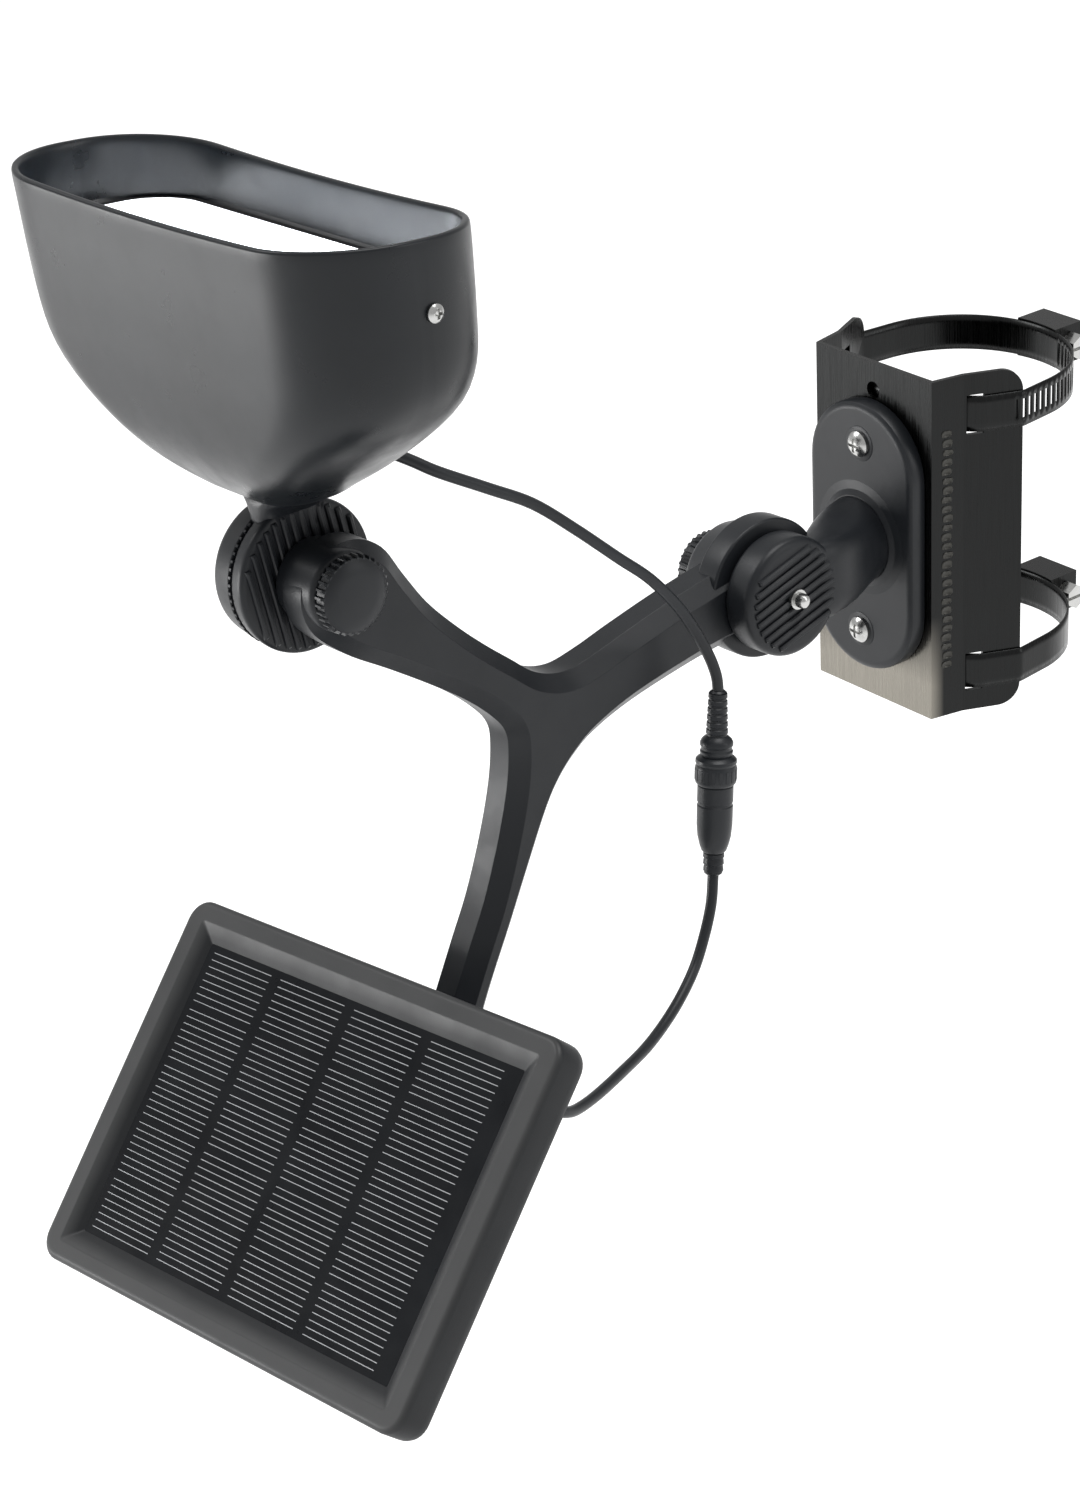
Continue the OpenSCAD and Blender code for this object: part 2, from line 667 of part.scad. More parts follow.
module panel_frame() {
  color([0.16, 0.17, 0.18]) panel_frame_at() difference() {
    panel_plate(panel_w, panel_h, frame_r, -panel_t, 0);
    panel_plate(cell_w, cell_h, 2, -panel_t - 1, 1);
    hull() {
      translate([0, 0, -cell_drop]) linear_extrude(0.01) square([cell_w, cell_h], center = true);
      translate([0, 0, 0.01]) linear_extrude(0.01) square([cell_w + 2 * bevel_w, cell_h + 2 * bevel_w], center = true);
    }
    panel_plate(cell_w + 2 * laminate_lip + 0.2, cell_h + 2 * laminate_lip + 0.2, 2, -panel_t - 1, -cell_drop);
    panel_plate(back_w + 0.2, back_h + 0.2, 5, -panel_t - 1, -panel_t + back_t);
    for (x = [-1, 1] * back_screw_x, y = [-1, 1] * back_screw_y) translate([x, y, -panel_t]) cylinder(h = 10, r = 1.3);
  }
}

module solar_cell() {
  l = 2 * laminate_lip;
  color([0.06, 0.07, 0.1]) panel_frame_at()
    panel_plate(cell_w + l, cell_h + l, 2, -cell_drop - laminate_t, -cell_drop);
}

module panel_gasket() {
  l = 2 * laminate_lip;
  color([0.08, 0.08, 0.08]) panel_frame_at() difference() {
    panel_plate(cell_w + l, cell_h + l, 2, -panel_t + back_t, -cell_drop - laminate_t);
    panel_plate(cell_w - 4, cell_h - 4, 2, -panel_t, 0);
  }
}

module panel_back() {
  color([0.15, 0.16, 0.17]) panel_frame_at() difference() {
    union() {
      panel_plate(back_w, back_h, 5, -panel_t, -panel_t + back_t);
      translate([0, 0, flange_z]) cylinder(h = boss_t + 1, r = boss_r);
    }
    for (x = [-1, 1] * back_screw_x, y = [-1, 1] * back_screw_y) translate([x, y, -panel_t - 1]) cylinder(h = 10, r = 1.6);
    for (a = [45:90:315]) rotate([0, 0, a]) translate([flange_bolt_r, 0, flange_z - 1]) cylinder(h = 10, r = 1.5);
  }
}

module back_screws() {
  color("silver") panel_frame_at() for (x = [-1, 1] * back_screw_x, y = [-1, 1] * back_screw_y)
    translate([x, y, -panel_t]) rotate([180, 0, 0]) pan_screw(2.8, 1.8, 1.3, 9);
}

module panel_junction() {
  color([0.1, 0.1, 0.11]) panel_frame_at() translate([junction_c.x, junction_c.y, junction_z])
    linear_extrude(-panel_t - junction_z) round_rect(22, 16, 2);
}

module panel_gland() {
  color([0.1, 0.1, 0.11]) panel_frame_at() translate([junction_c.x, junction_c.y, 0]) {
    translate([0, 0, junction_z - 3.5]) cylinder(h = 3.5, r = 5, $fn = 6);
    translate([0, 0, junction_z - gland_l]) cylinder(h = gland_l - 3, r = 3.8);
  }
}

module panel_foot() {
  color([0.16, 0.17, 0.18]) difference() {
    union() {
      arm_frame() ribbed_disc(panel_c, foot_x0, foot_x1, panel_foot_r, 60, 1);
      hull($fn = round_fn) {
        arm_frame() xcyl(panel_c, foot_x0 + 0.5, foot_x1 - 0.5, 13);
        panel_frame_at() translate([0, 0, flange_z - 4]) cylinder(h = 1, r = 13);
      }
      panel_frame_at() translate([0, 0, flange_z - 4]) cylinder(h = 4, r = boss_r);
    }
    arm_frame() {
      xcyl(panel_c, -40, 40, bolt_r + run_gap);
      xcyl(panel_c, foot_x1 + rib_h, 40, panel_eye_r + 4);
      translate([foot_x0 - 1, panel_c.x, panel_c.y]) rotate([0, 90, 0]) cylinder(h = 5, r = 4.65, $fn = 6);
    }
    panel_frame_at() for (a = [45:90:315]) rotate([0, 0, a])
      translate([flange_bolt_r, 0, flange_z - 10]) cylinder(h = 20, r = 1.55);
  }
}

module foot_bolts() {
  color("silver") panel_frame_at() for (a = [45:90:315]) rotate([0, 0, a])
    translate([flange_bolt_r, 0, flange_z - 4]) rotate([180, 0, 0]) pan_screw(2.4, 1.8, 1.5, 9.5);
}

module panel_joint_nut() {
  color("silver") arm_frame() x_nut(panel_c, foot_x0 + 0.4, foot_x0 + 4);
}

module panel_knob() {
  color([0.16, 0.17, 0.18]) arm_frame() toothed_knob(panel_c, arm_x + gap, arm_x + 6, 11.8, 24);
}

module panel_bolt() {
  color("silver") arm_frame() xcyl(panel_c, foot_x0 + 0.2, arm_x + 5.5, bolt_r);
}

// --- leads ------------------------------------------------------------------------------------------------

// Its children's +Z runs from p to q
module along(p, q) {
  v = q - p;
  translate(p) rotate([0, acos(v.z / norm(v)), atan2(v.y, v.x)]) children();
}

module lamp_lead() {
  color([0.08, 0.08, 0.09]) arm_frame() tube(lamp_route, lead_r);
}

module panel_lead() {
  color([0.08, 0.08, 0.09]) arm_frame() tube(panel_route, lead_r);
}

module lead_plug() {
  color([0.08, 0.08, 0.09]) arm_frame() along(plug_top, plug_end) {
    cylinder(h = 17, r = 3.6);
    translate([0, 0, 16]) cylinder(h = 6, r = 5.5);
    translate([0, 0, 22]) cylinder(h = 10, r = 6.9);
  }
}

module lead_socket() {
  l = norm(plug_end - plug_top);
  color([0.08, 0.08, 0.09]) arm_frame() along(plug_top, plug_end) {
    translate([0, 0, 32]) cylinder(h = 23, r = 6);
    translate([0, 0, 55]) cylinder(h = l - 55, r = 3.6);
  }
}

pole_channel();
upper_band();
lower_band();
worm_housings();
upper_worm_screw();
lower_worm_screw();
base_plate();
base_screws();
stem();
stem_nut();
mount_knob();
mount_bolt();
y_arm();
lamp_joint_nut();
panel_joint_nut();
lamp_foot();
lamp_drum();
foot_screws();
lamp_knob();
lamp_bolt();
lamp_hood();
hood_screws();
lens();
lens_gasket();
reflector();
led_board();
led_chips();
battery_tray();
battery_cell();
charge_board();
lamp_gland();
power_button();
button_boot();
panel_foot();
panel_knob();
panel_bolt();
foot_bolts();
panel_frame();
panel_gasket();
solar_cell();
panel_back();
back_screws();
panel_junction();
panel_gland();
lamp_lead();
lead_plug();
lead_socket();
panel_lead();
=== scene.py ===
import math

import bmesh
import bpy
from mathutils import Matrix, Vector


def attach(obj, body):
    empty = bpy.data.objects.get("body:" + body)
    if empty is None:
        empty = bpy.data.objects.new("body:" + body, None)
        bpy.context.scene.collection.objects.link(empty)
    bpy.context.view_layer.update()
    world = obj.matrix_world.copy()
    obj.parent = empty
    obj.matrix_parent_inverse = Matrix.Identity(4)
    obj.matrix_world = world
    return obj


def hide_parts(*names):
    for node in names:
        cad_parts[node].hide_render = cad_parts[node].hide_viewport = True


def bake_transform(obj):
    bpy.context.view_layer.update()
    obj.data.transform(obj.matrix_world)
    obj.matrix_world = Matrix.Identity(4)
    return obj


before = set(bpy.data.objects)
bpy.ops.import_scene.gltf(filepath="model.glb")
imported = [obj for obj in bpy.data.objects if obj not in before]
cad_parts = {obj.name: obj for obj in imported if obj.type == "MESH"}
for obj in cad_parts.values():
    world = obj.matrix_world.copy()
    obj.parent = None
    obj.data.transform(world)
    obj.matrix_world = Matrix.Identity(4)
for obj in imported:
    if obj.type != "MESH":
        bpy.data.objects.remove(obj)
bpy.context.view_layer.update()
scene = bpy.context.scene

# ---------------------------------------------------------------------------------------------
# The arm's frame is the row frame turned 3 degrees about Y. Shapes below are in millimetres.
# ---------------------------------------------------------------------------------------------
MM = 0.001
ARM = Matrix.Rotation(math.radians(-3), 4, "Y")
ROW = Matrix.Identity(4)
MOUNT_C = (-98.5, -0.5)
LAMP_C = (-268, 52)
PANEL_C = (-258, -166)
ARM_X = 10
HEAD_X = -15


def rad(a):
    return math.radians(a)


# --- camera ------------------------------------------------------------------------------------
CAM_AZ, CAM_EL, CAM_ROLL = 51.9, 26.6, -2.92
CAM_EYE = Vector((0.8625, -0.8676, 0.5182))
CAM_LENS = 90.58
az, el, roll = rad(CAM_AZ), rad(CAM_EL), rad(CAM_ROLL)
look = Vector((-math.sin(az) * math.cos(el), math.cos(az) * math.cos(el), -math.sin(el)))
right0 = Vector((math.cos(az), math.sin(az), 0))
up0 = right0.cross(look)
right = math.cos(roll) * right0 + math.sin(roll) * up0
up = -math.sin(roll) * right0 + math.cos(roll) * up0
cam_data = bpy.data.cameras.new("camera")
cam_data.lens = CAM_LENS
cam_data.sensor_width = 36
cam = bpy.data.objects.new("camera", cam_data)
scene.collection.objects.link(cam)
cam.matrix_world = Matrix.Translation(CAM_EYE) @ Matrix(
    ((right.x, up.x, -look.x, 0), (right.y, up.y, -look.y, 0), (right.z, up.z, -look.z, 0), (0, 0, 0, 1))
)
scene.camera = cam


# --- materials ---------------------------------------------------------------------------------
class Mat:
    """A Principled material and short ways to add nodes to it."""

    def __init__(self, name, color, rough, metallic=0.0, **inputs):
        self.m = bpy.data.materials.new(name)
        self.m.use_nodes = True
        self.tree = self.m.node_tree
        self.bsdf = self.tree.nodes["Principled BSDF"]
        self.set("Base Color", (*color, 1))
        self.set("Roughness", rough)
        self.set("Metallic", metallic)
        for key, value in inputs.items():
            self.set(key.replace("_", " "), value)
        self.coords = self.node("ShaderNodeTexCoord").outputs["Object"]
        self.height = None

    def set(self, socket, value):
        self.bsdf.inputs[socket].default_value = value

    def node(self, kind, **props):
        n = self.tree.nodes.new(kind)
        for key, value in props.items():
            setattr(n, key, value)
        return n

    def link(self, a, b):
        self.tree.links.new(a, b)

    def mapped(self, scale):
        n = self.node("ShaderNodeMapping")
        n.inputs["Scale"].default_value = scale
        self.link(self.coords, n.inputs["Vector"])
        return n.outputs["Vector"]

    def noise(self, scale, detail=4, rough=0.5, vector=None):
        n = self.node("ShaderNodeTexNoise")
        n.inputs["Scale"].default_value = scale
        n.inputs["Detail"].default_value = detail
        n.inputs["Roughness"].default_value = rough
        self.link(vector or self.coords, n.inputs["Vector"])
        return n.outputs["Fac"]

    def spread(self, value, low, high, at=(0.3, 0.7)):
        n = self.node("ShaderNodeMapRange")
        n.inputs["From Min"].default_value, n.inputs["From Max"].default_value = at
        n.inputs["To Min"].default_value, n.inputs["To Max"].default_value = low, high
        self.link(value, n.inputs["Value"])
        return n.outputs["Result"]

    def math(self, op, a, b=0.0):
        n = self.node("ShaderNodeMath", operation=op)
        for socket, value in zip(n.inputs, (a, b)):
            if isinstance(value, (int, float)):
                socket.default_value = value
            else:
                self.link(value, socket)
        return n.outputs[0]

    def tint(self, value, low, high):
        n = self.node("ShaderNodeMix", data_type="RGBA")
        n.inputs[6].default_value = (*low, 1)
        n.inputs[7].default_value = (*high, 1)
        self.link(value, n.inputs[0])
        self.link(n.outputs[2], self.bsdf.inputs["Base Color"])

    def bump(self, value, distance, strength=1.0):
        n = self.node("ShaderNodeBump")
        n.inputs["Distance"].default_value = distance
        n.inputs["Strength"].default_value = strength
        self.link(value, n.inputs["Height"])
        if self.height is not None:
            self.link(self.height, n.inputs["Normal"])
        self.height = n.outputs["Normal"]
        self.link(self.height, self.bsdf.inputs["Normal"])


def moulded(name, dark, light, rough, grain=2600, depth=0.00002, coat=0.0, specular=0.32):
    """Moulded plastic: a fine spark-eroded grain, soft colour drift and handled, shinier patches."""
    m = Mat(name, dark, rough)
    if coat:
        m.set("Coat Weight", coat)
        m.set("Coat Roughness", 0.25)
    m.set("Specular IOR Level", specular)
    drift = m.noise(22, 3)
    m.tint(m.spread(drift, 0, 1), dark, light)
    m.link(m.spread(m.noise(60, 5, 0.6), rough - 0.06, rough + 0.08), m.bsdf.inputs["Roughness"])
    m.bump(m.noise(grain, 3, 0.6), depth)
    m.bump(m.noise(55, 2), depth * 4, 0.6)
    return m.m


PLASTIC = moulded("black_plastic", (0.007, 0.0082, 0.0102), (0.011, 0.0125, 0.015), 0.38, specular=0.3)
HOOD = moulded("hood_plastic", (0.0052, 0.0064, 0.008), (0.0085, 0.0102, 0.0125), 0.31,
               depth=0.000012, specular=0.3)
CABLE = moulded("cable_jacket", (0.008, 0.009, 0.011), (0.014, 0.016, 0.019), 0.38, grain=1800)
RUBBER = moulded("rubber", (0.007, 0.007, 0.0075), (0.012, 0.012, 0.013), 0.7, grain=1500, depth=0.00004)


def brushed_steel_painted_reflection(dark, light):
    """Stainless sheet, brushed along its height, with a painted reflection that tints the lower part of the
    front plate light.
    """
    m = Mat("brushed_steel_painted_reflection", dark, 0.3, 1.0)
    fine = m.noise(2400, 2, 0.6, m.mapped((1, 1, 0.02)))
    where = m.node("ShaderNodeSeparateXYZ")
    m.link(m.coords, where.inputs[0])
    # painted reflection: a light tint towards the bottom of the front plate, its edge broken up by a cloud
    cloud = m.math("MULTIPLY", m.math("SUBTRACT", m.noise(16, 3), 0.5), 0.03)
    low = m.spread(m.math("ADD", where.outputs["Z"], cloud), 1, 0, (-0.054, -0.026))
    front = m.spread(where.outputs["Y"], 1, 0, (-0.0415, -0.036))
    m.tint(m.math("MULTIPLY", low, front), dark, light)
    m.link(m.spread(fine, 0.16, 0.38), m.bsdf.inputs["Roughness"])
    m.bump(fine, 0.000012)
    m.bump(m.noise(28, 2), 0.0002, 0.5)
    return m.m


def bright_metal(name, color, rough):
    m = Mat(name, color, rough, 1.0)
    m.tint(m.spread(m.noise(120, 3), 0, 1), tuple(c * 0.86 for c in color), color)
    m.link(m.spread(m.noise(300, 4, 0.6), rough - 0.05, rough + 0.14), m.bsdf.inputs["Roughness"])
    m.bump(m.noise(900, 2), 0.00001)
    return m.m


# the light colour is the painted reflection on the lower front plate
STEEL = brushed_steel_painted_reflection((0.022, 0.0225, 0.0225), (0.24, 0.225, 0.195))
STAMPED = bright_metal("stamped_steel", (0.055, 0.054, 0.050), 0.26)
CHROME = bright_metal("plated_screw", (0.55, 0.55, 0.54), 0.18)


def lens_material():
    m = Mat("lens", (0.92, 0.95, 1.0), 0.2, Transmission_Weight=0.35, IOR=1.49)
    m.set("Emission Color", (0.94, 0.97, 1.0, 1))
    m.link(m.spread(m.noise(14, 2), 1.3, 3.2), m.bsdf.inputs["Emission Strength"])
    m.tint(m.spread(m.noise(40, 2), 0, 1), (0.88, 0.92, 0.97), (0.97, 0.98, 1.0))
    flutes = m.node("ShaderNodeTexWave", wave_type="BANDS", bands_direction="X")
    flutes.inputs["Scale"].default_value = 90
    m.link(m.coords, flutes.inputs["Vector"])
    m.bump(flutes.outputs["Fac"], 0.0001)
    return m.m


# An emissive material: a true lamp for the LED chips, and painted light where a part that gives no light is
# made to glow.
def glow_material(name, color, low, high, scale):
    m = Mat(name, color, 0.5)
    m.set("Emission Color", (0.93, 0.97, 1.0, 1))
    m.link(m.spread(m.noise(scale, 2), low, high), m.bsdf.inputs["Emission Strength"])
    m.tint(m.spread(m.noise(90, 3), 0, 1), tuple(c * 0.9 for c in color), color)
    return m.m


LENS = lens_material()
LED = glow_material("led_light", (1, 0.97, 0.88), 25, 40, 200)
# painted light: the reflector and the white board glow, standing in for the light that falls on them
REFLECTOR_PAINTED_GLOW = glow_material("reflector_painted_glow", (0.86, 0.88, 0.9), 0.7, 1.6, 30)
BOARD_WHITE_PAINTED_GLOW = glow_material("board_white", (0.82, 0.84, 0.84), 0.1, 0.4, 60)


def board_green():
    m = Mat("board_green", (0.02, 0.12, 0.05), 0.35)
    traces = m.node("ShaderNodeTexVoronoi", distance="MANHATTAN")
    traces.inputs["Scale"].default_value = 380
    m.link(m.coords, traces.inputs["Vector"])
    m.tint(m.spread(traces.outputs["Distance"], 0, 1, (0.1, 0.5)), (0.02, 0.14, 0.06), (0.03, 0.22, 0.09))
    m.bump(traces.outputs["Distance"], 0.00004)
    return m.m


BOARD_GREEN = board_green()
CELL_WRAP = moulded("cell_sleeve", (0.03, 0.10, 0.34), (0.05, 0.14, 0.42), 0.3, coat=0.4)

# --- mesh helpers -------------------------------------------------------------------------------


def add_loft(bm, rings, cap=True, closed=True):
    """Skins rings of points of one length; closed joins the last point of a ring to its first."""
    made = [[bm.verts.new(Vector(p)) for p in ring] for ring in rings]
    n = len(made[0])
    for a, b in zip(made, made[1:]):
        for i in range(n if closed else n - 1):
            j = (i + 1) % n
            bm.faces.new((a[i], a[j], b[j], b[i]))
    if cap:
        bm.faces.new(made[0][::-1])
        bm.faces.new(made[-1])
    return made


def add_lathe(bm, profile, centre=(0, 0), axis="X", seg=96):
    """Turns a profile of (along, radius) about an axis through centre; ends at radius 0 close to a point."""
    def place(t, r, a):
        u, v = centre[0] + r * math.cos(a), centre[1] + r * math.sin(a)
        return {"X": (t, u, v), "Y": (u, t, v), "Z": (u, v, t)}[axis]

    rings = []
    for t, r in profile:
        count = 1 if r < 1e-6 else seg
        rings.append([bm.verts.new(Vector(place(t, r, 2 * math.pi * k / seg))) for k in range(count)])
    for a, b in zip(rings, rings[1:]):
        for k in range(seg):
            j = (k + 1) % seg
            quad = [a[k % len(a)], a[j % len(a)], b[j % len(b)], b[k % len(b)]]
            bm.faces.new(list(dict.fromkeys(quad)))
    for ring, flip in ((rings[0], True), (rings[-1], False)):
        if len(ring) > 1:
            bm.faces.new(ring[::-1] if flip else ring)


def rounded(points, radius, steps=4):
    """The corners of a profile or outline rounded; radius is one number or one for each point."""
    out = []
    n = len(points)
    for i, p in enumerate(points):
        r = radius[i] if isinstance(radius, (list, tuple)) else radius
        p = Vector(p)
        if i in (0, n - 1) or r <= 0:
            out.append(tuple(p))
            continue
        a, b = Vector(points[i - 1]) - p, Vector(points[i + 1]) - p
        angle = a.angle(b)
        if angle > math.pi - 0.02:
            out.append(tuple(p))
            continue
        cut = min(r / math.tan(angle / 2), a.length * 0.49, b.length * 0.49)
        start, end = p + a.normalized() * cut, p + b.normalized() * cut
        for k in range(steps + 1):
            t = k / steps
            out.append(tuple((1 - t) ** 2 * start + 2 * t * (1 - t) * p + t * t * end))
    return out


def smooth_line(points, steps=6, closed=False):
    """A Catmull-Rom curve through the points."""
    n = len(points)
    pts = [Vector(p) for p in points]
    out = []
    for i in range(n if closed else n - 1):
        p0 = pts[i - 1] if (closed or i > 0) else pts[0]
        p1, p2 = pts[i], pts[(i + 1) % n]
        p3 = pts[(i + 2) % n] if (closed or i + 2 < n) else pts[-1]
        for k in range(steps):
            t = k / steps
            out.append(0.5 * ((2 * p1) + (p2 - p0) * t + (2 * p0 - 5 * p1 + 4 * p2 - p3) * t * t
                              + (3 * p1 - p0 - 3 * p2 + p3) * t ** 3))
    if not closed:
        out.append(pts[-1])
    return out


def round_rect(w, h, r, corner=10, edge=6):
    """Points round a rectangle with round corners, counter-clockwise."""
    out = []
    r = min(r, w / 2 - 0.01, h / 2 - 0.01)
    for k, (sx, sy) in enumerate(((1, 1), (-1, 1), (-1, -1), (1, -1))):
        cx, cy = sx * (w / 2 - r), sy * (h / 2 - r)
        for i in range(corner + 1):
            a = rad(90 * k + 90 * i / corner)
            out.append((cx + r * math.cos(a), cy + r * math.sin(a)))
        last = Vector(out[-1])
        sx2, sy2 = ((-1, 1), (-1, -1), (1, -1), (1, 1))[k]
        a = rad(90 * (k + 1))
        nxt = Vector((sx2 * (w / 2 - r) + r * math.cos(a), sy2 * (h / 2 - r) + r * math.sin(a)))
        for i in range(1, edge):
            out.append(tuple(last.lerp(nxt, i / edge)))
    return out


def make(name, bm, material, body, replaces=(), at=ARM, bevel=0.0, sharp=32, local=False):
    """Finishes a piece drawn in millimetres: to metres, into the row frame, onto its
    body. local keeps the mesh in its own frame, for a material laid out in that frame."""
    bmesh.ops.remove_doubles(bm, verts=bm.verts, dist=1e-4)
    bmesh.ops.transform(bm, matrix=(ROW if local else at) @ Matrix.Scale(MM, 4), verts=bm.verts)
    bmesh.ops.recalc_face_normals(bm, faces=bm.faces)
    mesh = bpy.data.meshes.new(name)
    bm.to_mesh(mesh)
    bm.free()
    mesh.materials.append(material)
    piece = bpy.data.objects.new(name, mesh)
    scene.collection.objects.link(piece)
    if local:
        piece.matrix_world = at
    mesh.polygons.foreach_set("use_smooth", [True] * len(mesh.polygons))
    mesh.set_sharp_from_angle(angle=rad(sharp))
    if bevel:
        add_bevel(piece, bevel, 2, sharp)
    if body:
        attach(piece, body)
    if replaces:
        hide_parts(*([replaces] if isinstance(replaces, str) else replaces))
    return piece


def add_bevel(piece, width, segments=2, angle=32):
    b = piece.modifiers.new("edges", "BEVEL")
    b.width = width * MM
    b.segments = segments
    b.limit_method = "ANGLE"
    b.angle_limit = rad(angle)
    b.harden_normals = True
    b.use_clamp_overlap = True


# --- leads: the same route points as the CAD, in the arm's frame ---------------------------------
LAMP_ROUTE = [
    (2, -247.32, 90.25), (2, -245.6, 89.72), (4.3, -242.4, 88.1), (7.6, -237.2, 84.7), (11.4, -230.5, 80),
    (15, -215, 71), (17, -200, 62), (19, -186, 50), (21, -171, 36), (22, -160, 26), (23, -151, 15),
    (24, -145, 5), (25, -140, -6), (25.7, -137.7, -14), (26, -137.5, -19.5),
]
PLUG_END = (28, -146.5, -82.5)
PANEL_ROUTE = [
    PLUG_END, (30, -150, -92), (32, -156, -102), (35, -164, -110), (40, -177, -116.5), (47, -194, -120),
    (55, -212, -119.5), (63, -230, -118), (68.5, -243, -115.6), (70.45, -249.62, -112.65),
    (70.45, -252.61, -110.04),
]


def in_row(p):
    return ARM @ (Vector(p) * MM)


def lead(name, route, node, radius=1.9, seg=14):
    """A round tube along a smooth curve through the route."""
    line = smooth_line(route, 6)
    bm = bmesh.new()
    rings = []
    side = None
    for i, p in enumerate(line):
        t = (line[min(i + 1, len(line) - 1)] - line[max(i - 1, 0)]).normalized()
        side = (side - t * side.dot(t)).normalized() if side else t.orthogonal().normalized()
        other = t.cross(side)
        rings.append([p + radius * (math.cos(2 * math.pi * k / seg) * side
                                    + math.sin(2 * math.pi * k / seg) * other)
                      for k in range(seg)])
    add_loft(bm, rings)
    piece = make(name, bm, CABLE, None, node, sharp=50)
    path = [in_row(p) for p in line]
    length = sum((b - a).length for a, b in zip(path, path[1:]))
    return piece, path, length


lamp_lead, lamp_path, lamp_length = lead("lamp_cable", LAMP_ROUTE, "lamp_lead")
panel_lead, panel_path, panel_length = lead("panel_cable", PANEL_ROUTE[::-1], "panel_lead")

# --- the in-line connector ------------------------------------------------------------------------
PLUG_TOP = Vector(LAMP_ROUTE[-1])
PLUG_AXIS = Vector(PLUG_END) - PLUG_TOP
PLUG_L = PLUG_AXIS.length
plug_at = ARM @ Matrix.Translation(PLUG_TOP * MM) @ PLUG_AXIS.to_track_quat("Z", "Y").to_matrix().to_4x4()


def ribbed_sleeve(start, end, r0, r1, count):
    """A bend-relief sleeve's profile: ribs with grooves between them."""
    out = [(start, r0 - 0.5)]
    for i in range(count):
        a = start + (end - start) * i / count
        step = (end - start) / count
        r = r0 + (r1 - r0) * i / count
        out += [(a + step * 0.08, r), (a + step * 0.62, r + 0.1), (a + step * 0.74, r - 0.25),
                (a + step * 0.96, r - 0.2)]
    return out


bm = bmesh.new()
profile = [(0, 0), (0, 2.2), (0.6, 2.9)] + ribbed_sleeve(0.8, 15.4, 3.1, 3.7, 6)
profile += [(15.6, 3.9), (16.6, 5.0), (17.6, 5.5), (18.6, 5.5), (19.2, 5.1), (20, 5.1), (20.6, 5.5),
            (21.4, 5.4), (22.2, 5.0), (22.8, 6.2), (23.4, 6.8), (24.4, 6.9), (25.2, 6.55), (26, 6.9),
            (30.6, 6.9), (31.4, 6.7), (32, 6.2), (32, 0)]
add_lathe(bm, profile, axis="Z", seg=48)
PLUG_GRIPS = 18
for k in range(PLUG_GRIPS):
    a = 2 * math.pi * k / PLUG_GRIPS
    c = Matrix.Rotation(a, 4, "Z") @ Matrix.Translation((6.75, 0, 28.4))
    bmesh.ops.create_cube(bm, size=1, matrix=c @ Matrix.Diagonal((0.5, 1.1, 4.0, 1)))
plug = make("inline_plug", bm, CABLE, "y_arm", "lead_plug", at=plug_at, sharp=28)
bm = bmesh.new()
profile = [(32, 0), (32, 5.6), (32.6, 6.0), (38, 6.0), (38.4, 5.7), (39, 5.7), (39.4, 6.0), (46, 5.95),
           (50, 5.6), (53, 4.9), (55, 4.2), (55.6, 3.7)]
profile += ribbed_sleeve(55.8, PLUG_L - 0.6, 3.5, 3.2, 3) + [(PLUG_L - 0.2, 2.6), (PLUG_L, 2.2), (PLUG_L, 0)]
add_lathe(bm, profile, axis="Z", seg=48)
socket = make("inline_socket", bm, CABLE, "y_arm", "lead_socket", at=plug_at, sharp=28)

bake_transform(lamp_lead)
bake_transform(panel_lead)

# --- Y arm ----------------------------------------------------------------------------------------


def slab_between(bm, outline, x0, x1, chamfer):
    """An outline in Y and Z as a slab along X whose edges are cut back by chamfer."""
    n = len(outline)
    pts = [Vector(p) for p in outline]
    inner = []
    for i, p in enumerate(pts):
        a, b = (p - pts[i - 1]).normalized(), (pts[(i + 1) % n] - p).normalized()
        t = (a + b).normalized()
        inner.append(p + Vector((-t.y, t.x)) * chamfer)
    c = chamfer
    rows = [(x0, inner), (x0 + c, pts), (x1 - c, pts), (x1, inner)]
    add_loft(bm, [[(x, p[0], p[1]) for p in ring] for x, ring in rows])


ARM_OUTLINE = smooth_line([
    (-100, 12.0), (-112, 11.0), (-135, 7.0), (-157, 2.0), (-172, -1.8), (-184, -3.4), (-195, 0.0),
    (-205, 8.0), (-215, 16.5), (-225, 26), (-235, 37), (-243, 49), (-250, 60), (-260, 65.5), (-272, 64),
    (-281, 55), (-279.5, 42), (-268, 30.5), (-252, 20.0), (-238, 10.5), (-224, 0.2), (-214.5, -8.6),
    (-209.5, -15.5), (-208.8, -23), (-211, -36), (-216.5, -53), (-224, -71), (-231.5, -85),
    (-240.5, -102), (-250, -120), (-259, -138), (-270, -155), (-273, -168), (-266, -179), (-252, -181),
    (-242, -171), (-241, -158), (-240, -143), (-234, -122), (-226, -104), (-214, -82), (-205, -65),
    (-196, -48.5), (-190, -40), (-183, -33.5), (-174, -28), (-157, -22.5), (-130, -17.5), (-112, -15.5),
    (-100, -14),
], 5, closed=True)
bm = bmesh.new()
ARM_CHAMFER, NUT_GAP = 5.2, 0.05  # the gap keeps the arm's face off the stem's nut
slab_between(bm, ARM_OUTLINE, -ARM_X, ARM_X - NUT_GAP, ARM_CHAMFER)
make("y_arm_body", bm, PLASTIC, "y_arm", "y_arm", bevel=0.5, sharp=24)
bm = bmesh.new()
add_lathe(bm, rounded([(-13.5, 0), (-13.5, 18), (-1.2, 21.5), (-1.2, 24), (8.5, 24), (8.5, 0)],
                      [0, 3.5, 2.5, 1.8, 1.0, 0], 5), MOUNT_C)
make("arm_drum", bm, PLASTIC, "y_arm", sharp=24)
